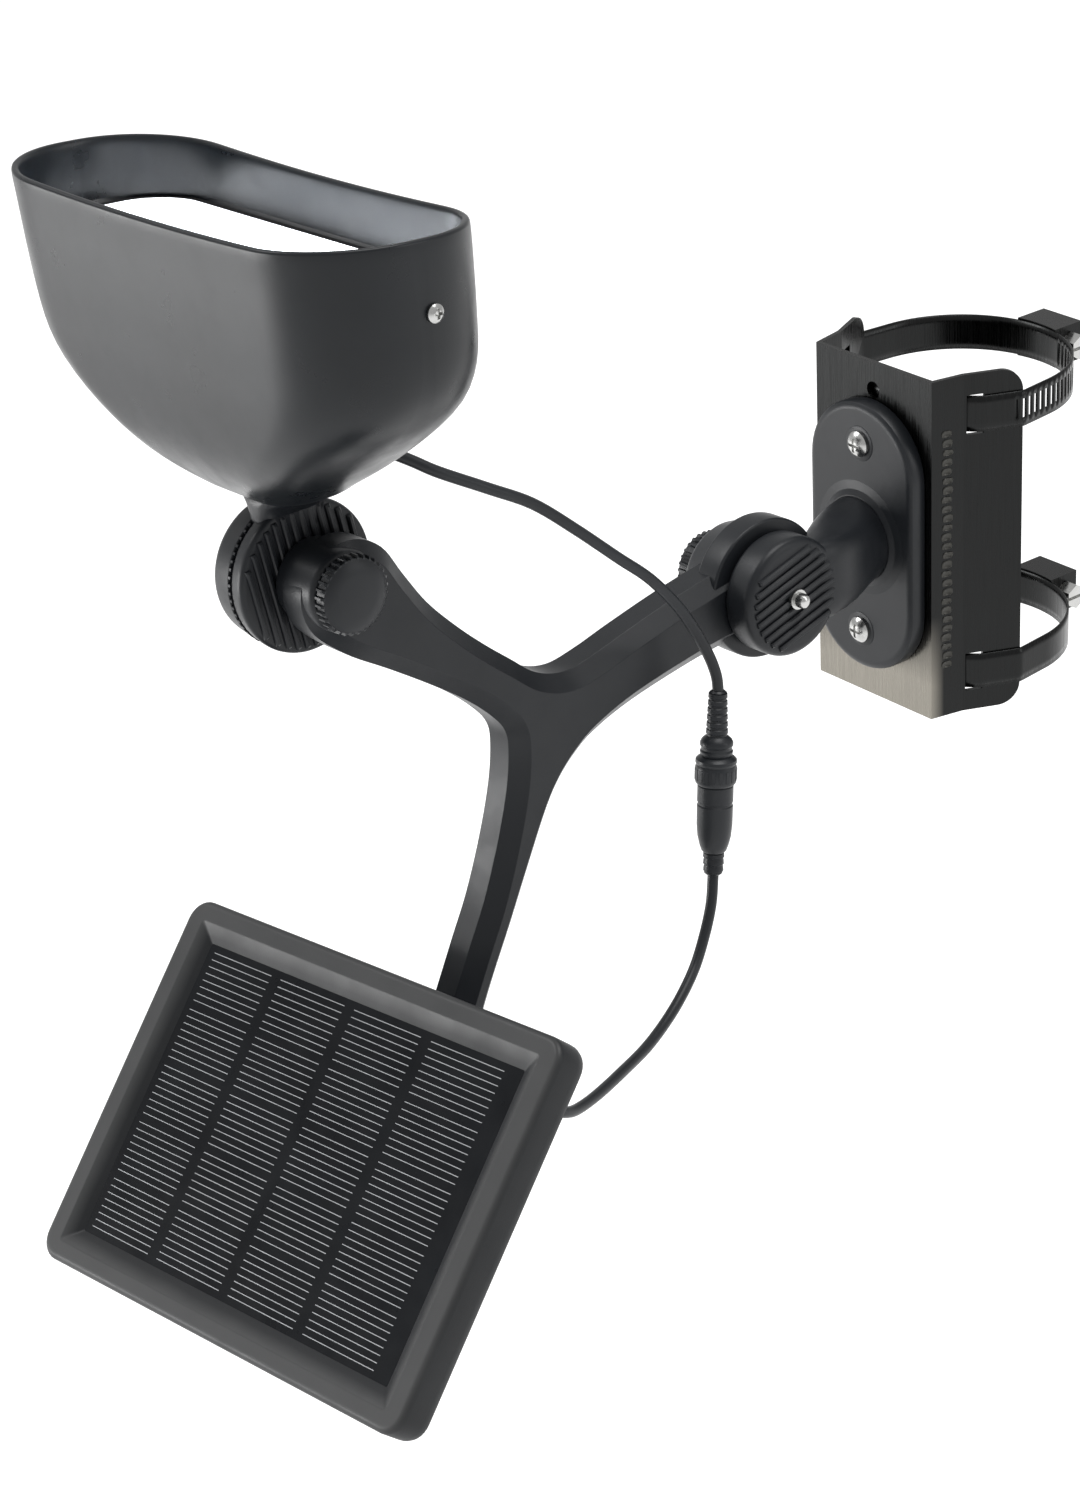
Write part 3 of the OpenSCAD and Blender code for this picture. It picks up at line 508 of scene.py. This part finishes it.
for name, c, r in (("arm_lamp_eye", LAMP_C, 13.4), ("arm_panel_eye", PANEL_C, 16)):
    bm = bmesh.new()
    add_lathe(bm, rounded([(-8.6, 0), (-8.6, r), (ARM_X, r - 0.4), (ARM_X, 0)], [0, 1, 2.5, 0], 5), c)
    make(name, bm, PLASTIC, "y_arm", sharp=24)


# --- joint discs, knobs and stem --------------------------------------------------------------------


def add_ribs(bm, c, x, r, direction, pitch=3.3, width=2.1, height=1.2):
    """Parallel raised ribs on a face looking along +X, each a bar with a rounded top."""
    n = int((r - 2) // pitch)
    turn = Matrix.Rotation(rad(direction), 4, "X")
    for i in range(-n, n + 1):
        d = i * pitch
        half = math.sqrt(max(r * r - d * d, 1)) - 0.6
        section = [(-0.3, -width / 2), (height * 0.55, -width / 2 + 0.15), (height, -width / 2 + 0.6),
                   (height, width / 2 - 0.6), (height * 0.55, width / 2 - 0.15), (-0.3, width / 2)]
        ends = [(-half, 0.55), (-half + 0.7, 1.0), (half - 0.7, 1.0), (half, 0.55)]
        rings = []
        for along, grow in ends:
            ring = []
            for h, w in section:
                p = turn @ Vector((0, along, d + w))
                ring.append((x + (h * grow if h > 0 else h), c[0] + p.y, c[1] + p.z))
            rings.append(ring)
        add_loft(bm, rings)


def knob(name, c, x0, x1, r, body, node, teeth=32):
    """A hand knob along X with a finely toothed rim and a domed cap, its outer end at x1."""
    bm = bmesh.new()
    s = 1 if x1 > x0 else -1
    length = abs(x1 - x0)
    profile = [(0, 0), (0, r - 0.5), (0.4, r), (length - 1.7, r), (length - 1.2, r - 0.9),
               (length - 0.5, r - 2.4), (length - 0.15, r - 5), (length, 0)]
    add_lathe(bm, [(x0 + s * t, q) for t, q in profile], c, seg=96)
    for k in range(teeth):
        turn = Matrix.Rotation(2 * math.pi * k / teeth, 4, "X")
        rings = []
        for t, h in ((0.2, 0.2), (0.6, 0.9), (length - 2.2, 0.9), (length - 1.5, 0.1)):
            ring = [turn @ Vector((0, r - 0.5, -0.75)), turn @ Vector((0, r + h, -0.35)),
                    turn @ Vector((0, r + h, 0.35)), turn @ Vector((0, r - 0.5, 0.75))]
            rings.append([(x0 + s * t, c[0] + p.y, c[1] + p.z) for p in ring])
        add_loft(bm, rings)
    return make(name, bm, PLASTIC, body, node, sharp=28)


bm = bmesh.new()
add_lathe(bm, rounded([(8.8, 0), (8.8, 17.5), (10.4, 17.5), (10.4, 20.5), (22, 20.5), (22, 0)],
                      [0, 0.6, 0.4, 2.2, 3.2, 0], 6), MOUNT_C)
add_ribs(bm, MOUNT_C, 22, 18.2, 16)
make("stem_disc", bm, PLASTIC, "stem", sharp=26)


def superellipse(w, h, power, count=40):
    out = []
    for k in range(count):
        a = 2 * math.pi * k / count
        c, s = math.cos(a), math.sin(a)
        out.append((w / 2 * math.copysign(abs(c) ** (2 / power), c),
                    h / 2 * math.copysign(abs(s) ** (2 / power), s)))
    return out


bm = bmesh.new()
# Y, X of the centre, width along X, height along Z, power of the outline
stations = [(-44.3, 0, 30, 30, 2), (-49, 0, 30, 30, 2), (-50.5, 0.3, 29, 29.2, 2.2),
            (-53, 1.2, 27.6, 27.4, 2.8), (-57, 3.0, 26.2, 26, 3.6), (-62, 5.6, 25, 25.6, 4.4),
            (-68, 8.8, 23.4, 26, 4.8), (-74, 11.8, 20.8, 26.8, 4.6), (-80, 14.4, 17.2, 28, 4),
            (-86, 15.9, 12.2, 28, 3.4)]
rings = []
for y, x, w, h, power in stations:
    rings.append([(x + p, y, q) for p, q in superellipse(w, h, power)])
add_loft(bm, rings)
add_lathe(bm, [(-44.3, 0), (-44.3, 19), (-41.3, 19), (-41.3, 0)], axis="Y")
make("stem_bar", bm, PLASTIC, "stem", "stem", sharp=26)

knob("mount_knob_cap", MOUNT_C, -13.8, -24.5, 11.8, "mount_knob", "mount_knob")
bm = bmesh.new()
add_lathe(bm, [(-24, 0), (-24, 2.5), (23, 2.5), (23.05, 3.4), (24.2, 3.4), (24.25, 2.5), (26.4, 2.5),
               (27.4, 2.1), (28, 1.2), (28.1, 0)], MOUNT_C, seg=48)
make("mount_bolt_end", bm, CHROME, "mount_knob", "mount_bolt", sharp=30)

# lamp joint
bm = bmesh.new()
add_lathe(bm, rounded([(-16.6, 0), (-16.6, 24), (-10.3, 25), (-10.3, 0)], [0, 0.8, 2.0, 0], 6), LAMP_C)
add_ribs(bm, LAMP_C, -10.3, 23.4, 100)
make("lamp_foot_disc", bm, PLASTIC, "lamp_head", sharp=26)
bm = bmesh.new()
# height, X of the centre, Y of the centre, width along X, depth along Y
neck = [(60, -15, -268, 8.6, 24), (68, -15.6, -268, 11, 25.5), (74, -15.8, -268.2, 13, 26),
        (77.5, -15.6, -268.6, 18, 25.6), (79.5, -15.2, -269, 25, 24.4), (81, -15, -269, 30, 22.6),
        (83, -15, -269, 29, 20)]
add_loft(bm, [[(x + q, y + p, z) for q, p in superellipse(d, w, 2.8)] for z, x, y, d, w in neck])
make("lamp_neck", bm, PLASTIC, "lamp_head", "lamp_foot", sharp=26)

bm = bmesh.new()
add_lathe(bm, rounded([(-30, 0), (-30, 15), (-28.8, 22.8), (-18.2, 24.2), (-17.8, 22.6), (-16.6, 22.6),
                       (-16.6, 0)], [0, 4, 4.5, 0.5, 0.2, 0.2, 0], 8), LAMP_C)
DRUM_TEETH = 60
for k in range(DRUM_TEETH):
    turn = Matrix.Rotation(2 * math.pi * k / DRUM_TEETH, 4, "X")
    rings = []
    for t, h in ((-18.6, 0.1), (-18.0, 0.7), (-16.9, 0.7)):
        ring = [turn @ Vector((0, 22.2, -0.8)), turn @ Vector((0, 23.6 + h, -0.4)),
                turn @ Vector((0, 23.6 + h, 0.4)), turn @ Vector((0, 22.2, 0.8))]
        rings.append([(t, LAMP_C[0] + p.y, LAMP_C[1] + p.z) for p in ring])
    add_loft(bm, rings)
make("lamp_drum_cap", bm, PLASTIC, "lamp_head", "lamp_drum", sharp=28)
knob("lamp_knob_cap", LAMP_C, 10.3, 16, 11.8, "lamp_knob", "lamp_knob")

# panel joint
bm = bmesh.new()
add_lathe(bm, rounded([(-20.3, 0), (-20.3, 17), (-10.3, 18), (-10.3, 0)], [0, 1.5, 1.8, 0], 5), PANEL_C)
add_ribs(bm, PANEL_C, -10.3, 16.6, 60)
make("panel_foot_disc", bm, PLASTIC, "panel", sharp=26)
knob("panel_knob_cap", PANEL_C, 10.3, 16, 11.8, "panel_knob", "panel_knob")

# --- lamp hood ---------------------------------------------------------------------------------
# Each station down the outside: height, Y of the centre, width, depth, corner radius, share of the rim's lean
HOOD_STATIONS = [
    (173.0, -276.0, 178.0, 70.0, 32, 1.0), (170.5, -275.9, 178.0, 70.0, 32, 1.0),
    (165.0, -275.6, 177.6, 69.7, 32, 0.95), (152.0, -275.2, 176.8, 69.0, 32, 0.7),
    (142.0, -274.8, 175.6, 68.3, 32, 0.4), (134.0, -274.4, 173.4, 67.4, 31, 0.2),
    (127.0, -274.4, 168.4, 66.4, 30, 0), (119.0, -274.2, 157.0, 64.7, 28, 0),
    (111.0, -274.2, 138.0, 62.3, 27, 0), (104.0, -274.1, 118.0, 58.5, 25, 0),
    (98.0, -273.8, 100.0, 53.6, 23, 0), (92.5, -273.1, 81.5, 47.4, 20, 0),
    (87.5, -272.0, 63.0, 39.6, 17, 0), (83.5, -270.6, 49.0, 32.6, 13.5, 0),
    (81.0, -269.5, 42.5, 28.6, 12.5, 0),
]
RIM_LIFT = 2.2
MOUTH_Y, RIM_Z = -276, 173
MOUTH_TILT = rad(-4)
LEAN = math.tan(MOUTH_TILT)
WALL = 2.6
SEAT_DROP = 17
SEAT_Y = 2.4


def hood_ring(station, inset=0.0, rise=0.0):
    z, y, w, d, r, lean = station
    pts = round_rect(w - 2 * inset, d - 2 * inset, max(r - inset, 2), corner=14, edge=12)
    return [(HEAD_X + p, y + q, z + rise + lean * (q * LEAN + RIM_LIFT * (p / 80) ** 2 - 0.3))
            for p, q in pts]


def between(z):
    """The hood's station at height z."""
    for a, b in zip(HOOD_STATIONS, HOOD_STATIONS[1:]):
        if a[0] >= z >= b[0]:
            t = (a[0] - z) / (a[0] - b[0])
            return tuple(p + (q - p) * t for p, q in zip(a, b))
    return HOOD_STATIONS[-1]


def seat_ring(l, w, r, z):
    """A round-cornered ring laid out in the mouth's frame, given in the arm's frame."""
    turn = Matrix.Rotation(MOUTH_TILT, 4, "X")
    return [tuple(Vector((HEAD_X, MOUTH_Y, RIM_Z)) + turn @ Vector((p, SEAT_Y + q, z)))
            for p, q in round_rect(l, w, r, corner=14, edge=12)]


bm = bmesh.new()
rim = HOOD_STATIONS[0]
seat_level = [(x, y, RIM_Z - SEAT_DROP + (y - MOUTH_Y) * LEAN)
              for x, y, z in hood_ring(between(156.5), WALL + 0.3)]
rings = [hood_ring(s) for s in HOOD_STATIONS[::-1]]
rings += [hood_ring(rim, 0.45, 0.5), hood_ring(rim, 1.3, 0.7), hood_ring(rim, WALL - 0.4, 0.5),
          hood_ring(rim, WALL, -0.4)]
rings += [hood_ring(between(z), WALL + 0.1) for z in (169, 163, 158.5)]
rings += [seat_level, seat_ring(166.4, 59.4, 19.2, -SEAT_DROP), seat_ring(166.4, 59.4, 19.2, -22.5),
          seat_ring(156, 50, 16, -22.6), seat_ring(156, 50, 16, -25)]
rings += [hood_ring(between(z), WALL + 0.2) for z in (142, 134, 127, 119, 111, 104, 98, 93)]
made = add_loft(bm, rings, cap=False)
bm.faces.new(made[0][::-1])
bm.faces.new(made[-1])
hood = make("hood_shell", bm, HOOD, "lamp_head", "lamp_hood", sharp=40)
smooth = hood.modifiers.new("smooth", "SUBSURF")
smooth.levels = smooth.render_levels = 1

# --- bracket: base plate, channel, bands -----------------------------------------------------------------


def obround(w, h, count=28):
    pts = []
    for k in range(2):
        for i in range(count + 1):
            a = rad(180 * k + 180 * i / count)
            pts.append((w / 2 * math.cos(a), (1 - 2 * k) * (h - w) / 2 + w / 2 * math.sin(a)))
        x = -w / 2 if k == 0 else w / 2
        for i in range(1, 6):
            z = (h - w) / 2 * (1 - i / 3) * (1 - 2 * k)
            pts.append((x, z))
    return pts


bm = bmesh.new()
rings = []
for y, inset in ((-41, 0.7), (-41.3, 0.15), (-41.8, 0), (-45.6, 0), (-46.6, 0.35), (-47.2, 1.2), (-47.5, 2.4),
                 (-47.5, 3)):
    rings.append([(x, y, z) for x, z in obround(50 - 2 * inset, 98 - 2 * inset)])
add_loft(bm, rings)
add_lathe(bm, rounded([(-47, 0), (-47, 22.6), (-47.5, 20.5), (-47.9, 17.4), (-49.0, 15.5), (-49.0, 15.06),
                       (-47.2, 15.06), (-47.2, 0)], [0, 0, 1.2, 1.6, 0.2, 0, 0, 0], 4), axis="Y")
BASE_SCREW_Z = 34.5
for z in (-BASE_SCREW_Z, BASE_SCREW_Z):
    add_lathe(bm, [(-47.2, 0), (-47.2, 6.4), (-47.6, 6.3), (-47.75, 5.9), (-47.75, 0)], (0, z), "Y", 48)
make("base_plate_body", bm, PLASTIC, "bracket", "base_plate", at=ROW, sharp=30)

GRIP_R, BAND_T, SHEET = 38.05, 0.7, 1.6
BAND_Z, BAND_HALF_W, SLOT_HALF_W = 47.5, 6.35, 3.5
SLOTS_FROM_Y, HOUSING_HALF_W = -12, 11
MID_R = GRIP_R + BAND_T / 2
WING = rad(-25)
WING_N = Vector((math.cos(WING), math.sin(WING)))
WING_D = Vector((-WING_N.y, WING_N.x))
WING_ROOT = (GRIP_R + SHEET / 2) * WING_N - 13 * WING_D
WING_TIP = WING_ROOT + 21 * WING_D
FRONT = rad(58)


def band_line():
    """The right half of a band's middle line, from the front of the pole to behind it."""
    leave = Vector((math.sin(FRONT), math.cos(FRONT)))
    p0 = MID_R * Vector((math.cos(FRONT), -math.sin(FRONT)))
    over = SHEET / 2 + 0.05 + BAND_T / 2
    p4 = WING_TIP + over * WING_N
    back = math.atan2(p4.y, p4.x) + math.acos(MID_R / p4.length)
    arc = [Vector((math.cos(a), math.sin(a))) * MID_R
           for a in [-math.pi / 2 + (math.pi / 2 - FRONT) * k / 14 for k in range(14)]]
    mid = [p0, p0 + 7.8 * leave, WING_ROOT + 3.6 * WING_D, WING_ROOT + 6.8 * WING_D + over * WING_N, p4]
    rear = [Vector((math.cos(a), math.sin(a))) * MID_R
            for a in [back + (math.pi / 2 - back) * k / 40 for k in range(41)]]
    return [Vector(p) for p in rounded([tuple(p) for p in arc + mid + rear[:1]], 3, 4)] + rear[1:]


def resample(line, step):
    total = sum((b - a).length for a, b in zip(line, line[1:]))
    count = max(int(round(total / step)), 1)
    out, seg, start = [], 0, 0.0
    lengths = [(b - a).length for a, b in zip(line, line[1:])]
    for i in range(count + 1):
        d = total * i / count
        while seg < len(lengths) - 1 and start + lengths[seg] < d - 1e-9:
            start += lengths[seg]
            seg += 1
        out.append(line[seg].lerp(line[seg + 1], min((d - start) / max(lengths[seg], 1e-9), 1)))
    return out


def band(name, z, node, side):
    """A worm-drive band, its slots cut through on one side (1 or -1), as a strip given its thickness."""
    half = resample(band_line(), 0.75)
    bm = bmesh.new()
    rows = (-BAND_HALF_W, -SLOT_HALF_W, SLOT_HALF_W, BAND_HALF_W)
    for s in (-1, 1):
        cols = [[bm.verts.new(Vector((s * p.x, p.y, z + r))) for r in rows] for p in half]
        for i, (a, b) in enumerate(zip(cols, cols[1:])):
            mid = (a[0].co + b[0].co) / 2
            slotted = s == side and mid.y > SLOTS_FROM_Y and abs(mid.x) > HOUSING_HALF_W
            for j in range(3):
                if j == 1 and slotted and i % 4 in (1, 2):
                    continue
                bm.faces.new((a[j], a[j + 1], b[j + 1], b[j]))
    piece = make(name, bm, STEEL, "bracket", node, at=ROW, sharp=30)
    solid = piece.modifiers.new("thickness", "SOLIDIFY")
    solid.thickness = BAND_T * MM
    solid.offset = 0
    return piece


band("upper_clamp_band", BAND_Z, "upper_band", 1)
band("lower_clamp_band", -BAND_Z, "lower_band", -1)

# a column of stamped dents with raised lips down each side of the channel, beside its front fold
SIDE_ROOT = Vector((27.2, -40.2))
SIDE_D = (WING_ROOT - SIDE_ROOT).normalized()
SIDE_N = Vector((SIDE_D.y, -SIDE_D.x))
bm = bmesh.new()
MARKS, MARK_PITCH = 26, 3.4
for s in (-1, 1):
    for k in range(MARKS):
        z = (k - (MARKS - 1) / 2) * MARK_PITCH
        length = 2.7 + 0.4 * math.sin(k * 2.4)
        mid = SIDE_ROOT + (5.6 + 0.3 * math.sin(k * 1.7)) * SIDE_D + (SHEET / 2) * SIDE_N
        rings = []
        for out_by, grow in ((-0.2, 1.0), (0.14, 0.98), (0.32, 0.84), (0.26, 0.66), (0.06, 0.5)):
            base = mid + out_by * SIDE_N
            rings.append([(s * (base + p * grow * SIDE_D).x, (base + p * grow * SIDE_D).y, z + q * grow)
                          for p, q in superellipse(4.2, length, 3.2, 16)])
        add_loft(bm, rings)
make("wing_marks", bm, STAMPED, "bracket", at=ROW, sharp=40)

# --- solar panel -------------------------------------------------------------------------------------------
PANEL = (ARM @ Matrix.Translation(Vector((0, -306.5, -130.7)) * MM) @ Matrix.Rotation(rad(48.9), 4, "X")
         @ Matrix.Rotation(rad(4.2), 4, "Z"))
PANEL_W, PANEL_H, FRAME_R = 188, 130, 8
CELL_W = 159


def panel_ring(w, h, r, z):
    return [(x, y, z) for x, y in round_rect(w, h, r, corner=8, edge=4)]


def border_material():
    """The panel's moulding: satin grey with a faint mottle on its face, with painted shade that makes it
    blacker down its sides and into its inner slope.
    """
    m = Mat("panel_plastic", (0.04, 0.04, 0.04), 0.44)
    where = m.node("ShaderNodeSeparateXYZ")
    m.link(m.coords, where.inputs[0])
    cloud = m.math("MULTIPLY", m.math("SUBTRACT", m.noise(40, 4), 0.5), 0.001)
    # painted shade: the face is light, and the colour darkens with depth below it, down the outer sides and
    # into the inner slope
    face = m.spread(m.math("ADD", where.outputs["Z"], cloud), 0, 1, (-0.0020, -0.0002))
    face_mottle_side_shade = m.math("MULTIPLY", face, m.spread(m.noise(26, 4), 0.8, 1))
    m.tint(face_mottle_side_shade, (0.0085, 0.0095, 0.011), (0.040, 0.0408, 0.0415))
    m.link(m.spread(m.noise(60, 5, 0.6), 0.38, 0.5), m.bsdf.inputs["Roughness"])
    m.set("Specular IOR Level", 0.28)
    m.bump(m.noise(2300, 3, 0.6), 0.00003)
    m.bump(m.noise(55, 2), 0.0001, 0.6)
    return m.m


FRAME_MAT = border_material()
bm = bmesh.new()
rings = []
for z, inset in ((-13, 1.8), (-12.2, 0.7), (-10.8, 0.15), (-9, 0), (-2.1, 0), (-1.56, 0.07), (-1.05, 0.28),
                 (-0.62, 0.62), (-0.28, 1.05), (-0.07, 1.56), (0, 2.1), (0, 2.8)):
    rings.append(panel_ring(PANEL_W - 2 * inset, PANEL_H - 2 * inset, FRAME_R - inset, z))
rings += [panel_ring(172.4, 117.4, 1.8, 0), panel_ring(171.6, 116.6, 1.6, 0), panel_ring(171, 116, 1.3, -0.1),
          panel_ring(159.4, 104.4, 0.8, -2.95), panel_ring(159, 104, 0.6, -3.1),
          panel_ring(167.2, 112.2, 2, -3.15), panel_ring(167.2, 112.2, 2, -10),
          panel_ring(176.2, 118.2, 5, -10), panel_ring(176.2, 118.2, 5, -13)]
rings.append(rings[0])
add_loft(bm, rings, cap=False)
make("panel_border", bm, FRAME_MAT, "panel", "panel_frame", at=PANEL, sharp=20, local=True)


def cell_material():
    """Dark silicon under a smooth cover, with a faint blue depth and fine clouding."""
    m = Mat("solar_cell", (0.006, 0.008, 0.012), 0.3, Specular_IOR_Level=0.08)
    m.tint(m.spread(m.noise(35, 4), 0, 1), (0.0045, 0.005, 0.0062), (0.0075, 0.0085, 0.010))
    m.link(m.spread(m.noise(90, 4), 0.26, 0.36), m.bsdf.inputs["Roughness"])
    m.bump(m.noise(700, 2), 0.000006)
    return m.m


CELL = cell_material()
FINGER = bright_metal("cell_finger", (0.34, 0.35, 0.36), 0.5)

bm = bmesh.new()
add_loft(bm, [panel_ring(167, 112, 2, -6), panel_ring(167, 112, 2, -3.2), panel_ring(166.4, 111.4, 2, -3.02),
              panel_ring(165, 110, 1.6, -3.02)])
make("solar_laminate", bm, CELL, "panel", "solar_cell", at=PANEL, local=True)
bm = bmesh.new()
COLUMNS = ((3, 34), (39, 72.5), (77.5, 111), (116, 151))
FINGER_PITCH, GROUP, GROUP_GAP, FINGER_W = 2.45, 8, 3.3, 0.25
span = 39 * FINGER_PITCH + 4 * (GROUP_GAP - FINGER_PITCH)
for left, stop in COLUMNS:
    y = -span / 2
    for k in range(40):
        x0, x1 = left - CELL_W / 2, stop - CELL_W / 2
        add_loft(bm, [[(x0, y - FINGER_W / 2, z), (x1, y - FINGER_W / 2, z), (x1, y + FINGER_W / 2, z),
                       (x0, y + FINGER_W / 2, z)] for z in (-3.06, -2.985)])
        y += GROUP_GAP if k % GROUP == GROUP - 1 else FINGER_PITCH
make("cell_fingers", bm, FINGER, "panel", at=PANEL, local=True)

# panel foot: the flange and the neck up to the joint disc
bm = bmesh.new()
into = PANEL.inverted() @ ARM
eye = into @ (Vector((-15.3, *PANEL_C)) * MM) / MM
add_lathe(bm, rounded([(-20, 0), (-20, 20.2), (-19, 21), (-16, 21), (-16, 0)],
                      [0, 0.8, 0.6, 0.3, 0], 4), axis="Z")
stations = []
for t in (0, 0.12, 0.28, 0.5, 0.75, 1):
    centre = Vector((0, 0, -19)).lerp(eye, t)
    wide = 13.5 - 1.5 * t + 3.0 * (1 - t) ** 4
    thin = 1 - 0.62 * t ** 1.5
    stations.append([tuple(centre + Vector((q * thin, p, 0)))
                     for p, q in superellipse(wide * 2, wide * 2, 2.3)])
add_loft(bm, stations)
make("panel_foot_neck", bm, PLASTIC, "panel", "panel_foot", at=PANEL, sharp=30)

# back cover with a raised rib round its edge and round the flange
bm = bmesh.new()
add_loft(bm, [panel_ring(176, 118, 5, -10), panel_ring(176, 118, 5, -12.7),
              panel_ring(175.2, 117.2, 4.6, -13), panel_ring(174.4, 116.4, 4.4, -13),
              panel_ring(160.8, 102.8, 4.2, -13), panel_ring(160, 102, 4, -13),
              panel_ring(158.8, 100.8, 3.6, -12.4), panel_ring(158, 100, 3.4, -12.4),
              panel_ring(20, 20, 9.9, -12.4)])
add_lathe(bm, rounded([(-12, 0), (-12, 24), (-13.2, 22.6), (-13.6, 21), (-16, 21), (-16, 0)],
                      [0, 0, 0.8, 0.6, 0.6, 0], 4), axis="Z")
for x in (-85.3, 85.3):
    for y in (-28, 28):
        add_lathe(bm, [(-12, 0), (-12, 4.6), (-13, 4.4), (-13, 0)], (x, y), "Z", 32)
for x in (-55, -40, 40, 55):
    add_loft(bm, [[(x + p * w, q * 44, z) for p, q in ((-1, -1), (1, -1), (1, 1), (-1, 1))]
                  for z, w in ((-12, 0.9), (-13, 0.6))])
make("panel_back_cover", bm, PLASTIC, "panel", "panel_back", at=PANEL, sharp=30)

# --- power button and its boot -----------------------------------------------------------------
bm = bmesh.new()
add_lathe(bm, rounded([(-245, 0), (-245, 4), (-237.6, 4), (-237.3, 0)], [0, 0.2, 1.1, 0], 4),
          (-45, 143), "Y", 48)
make("button_cap", bm, RUBBER, "power_button", "power_button", sharp=30)
bm = bmesh.new()
add_lathe(bm, [(-244, 4.06), (-244, 5.5), (-240.9, 5.5), (-240.9, 7.0), (-240.2, 7.0), (-239.7, 6.5),
               (-239.5, 5.6), (-239.5, 4.7), (-239.8, 4.06), (-244, 4.06)], (-45, 143), "Y", 48)
make("button_boot_ring", bm, RUBBER, "lamp_head", "button_boot", sharp=30)

# --- the CAD nodes that stay, with their finish ------------------------------------------------
KEEP = {
    STEEL: ("pole_channel", "worm_housings"),
    CHROME: ("upper_worm_screw", "lower_worm_screw", "base_screws", "stem_nut", "lamp_joint_nut",
             "panel_joint_nut", "foot_screws", "lamp_bolt", "hood_screws", "panel_bolt", "foot_bolts",
             "back_screws"),
    PLASTIC: ("battery_tray", "lamp_gland", "panel_junction", "panel_gland"),
    RUBBER: ("lens_gasket", "panel_gasket"),
    LENS: ("lens",), REFLECTOR_PAINTED_GLOW: ("reflector",), BOARD_WHITE_PAINTED_GLOW: ("led_board",), LED: ("led_chips",),
    CELL_WRAP: ("battery_cell",), BOARD_GREEN: ("charge_board",),
}
EDGE = {"pole_channel": 0.35, "worm_housings": 1.2, "base_screws": 0.25, "lens": 0.8, "lens_gasket": 0.3,
        "panel_junction": 0.8, "lamp_gland": 0.4, "panel_gland": 0.4, "hood_screws": 0.15, "stem_nut": 0.3}
for material, names in KEEP.items():
    for name in names:
        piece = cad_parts[name]
        piece.data.materials.clear()
        piece.data.materials.append(material)
        piece.data.polygons.foreach_set("use_smooth", [True] * len(piece.data.polygons))
        piece.data.set_sharp_from_angle(angle=rad(30))
        if name in EDGE:
            add_bevel(piece, EDGE[name], 3, 30)

# --- floor and light ---------------------------------------------------------------------------


FLOOR_Z = -0.32


def floor():
    """A wide pale studio floor, with a very light mottle."""
    m = Mat("studio_floor", (0.9, 0.9, 0.9), 0.9)
    m.set("Emission Color", (1, 1, 1, 1))
    m.set("Emission Strength", 0.3)
    m.tint(m.spread(m.noise(3, 3), 0, 1), (0.90, 0.90, 0.90), (0.93, 0.93, 0.93))
    bpy.ops.mesh.primitive_grid_add(x_subdivisions=8, y_subdivisions=8, size=30, location=(0, 0, FLOOR_Z))
    ground = bpy.context.object
    ground.name = "studio_floor"
    ground.data.materials.append(m.m)


floor()
world = bpy.data.worlds.new("studio")
scene.world = world
world.use_nodes = True
world.node_tree.nodes["Background"].inputs["Color"].default_value = (1, 1, 1, 1)
world.node_tree.nodes["Background"].inputs["Strength"].default_value = 0.6
AIM = Vector((0, -0.2, 0))


def softbox(name, position, size, power):
    data = bpy.data.lights.new(name, "AREA")
    data.shape = "RECTANGLE"
    data.size, data.size_y = size
    data.energy = power
    light = bpy.data.objects.new(name, data)
    scene.collection.objects.link(light)
    light.location = position
    light.visible_camera = False
    light.rotation_euler = (AIM - Vector(position)).to_track_quat("-Z", "Y").to_euler()


softbox("key", (-1.4, -1.1, 1.7), (0.9, 0.9), 18)
softbox("low_left", (-0.9, -1.3, -0.14), (0.8, 0.24), 9)
softbox("top", (0.3, 0.2, 2.0), (1.2, 1.2), 26)
softbox("right", (1.7, 0.9, 0.7), (0.5, 1.2), 5)
scene.view_settings.view_transform = "Standard"

bpy.context.view_layer.update()
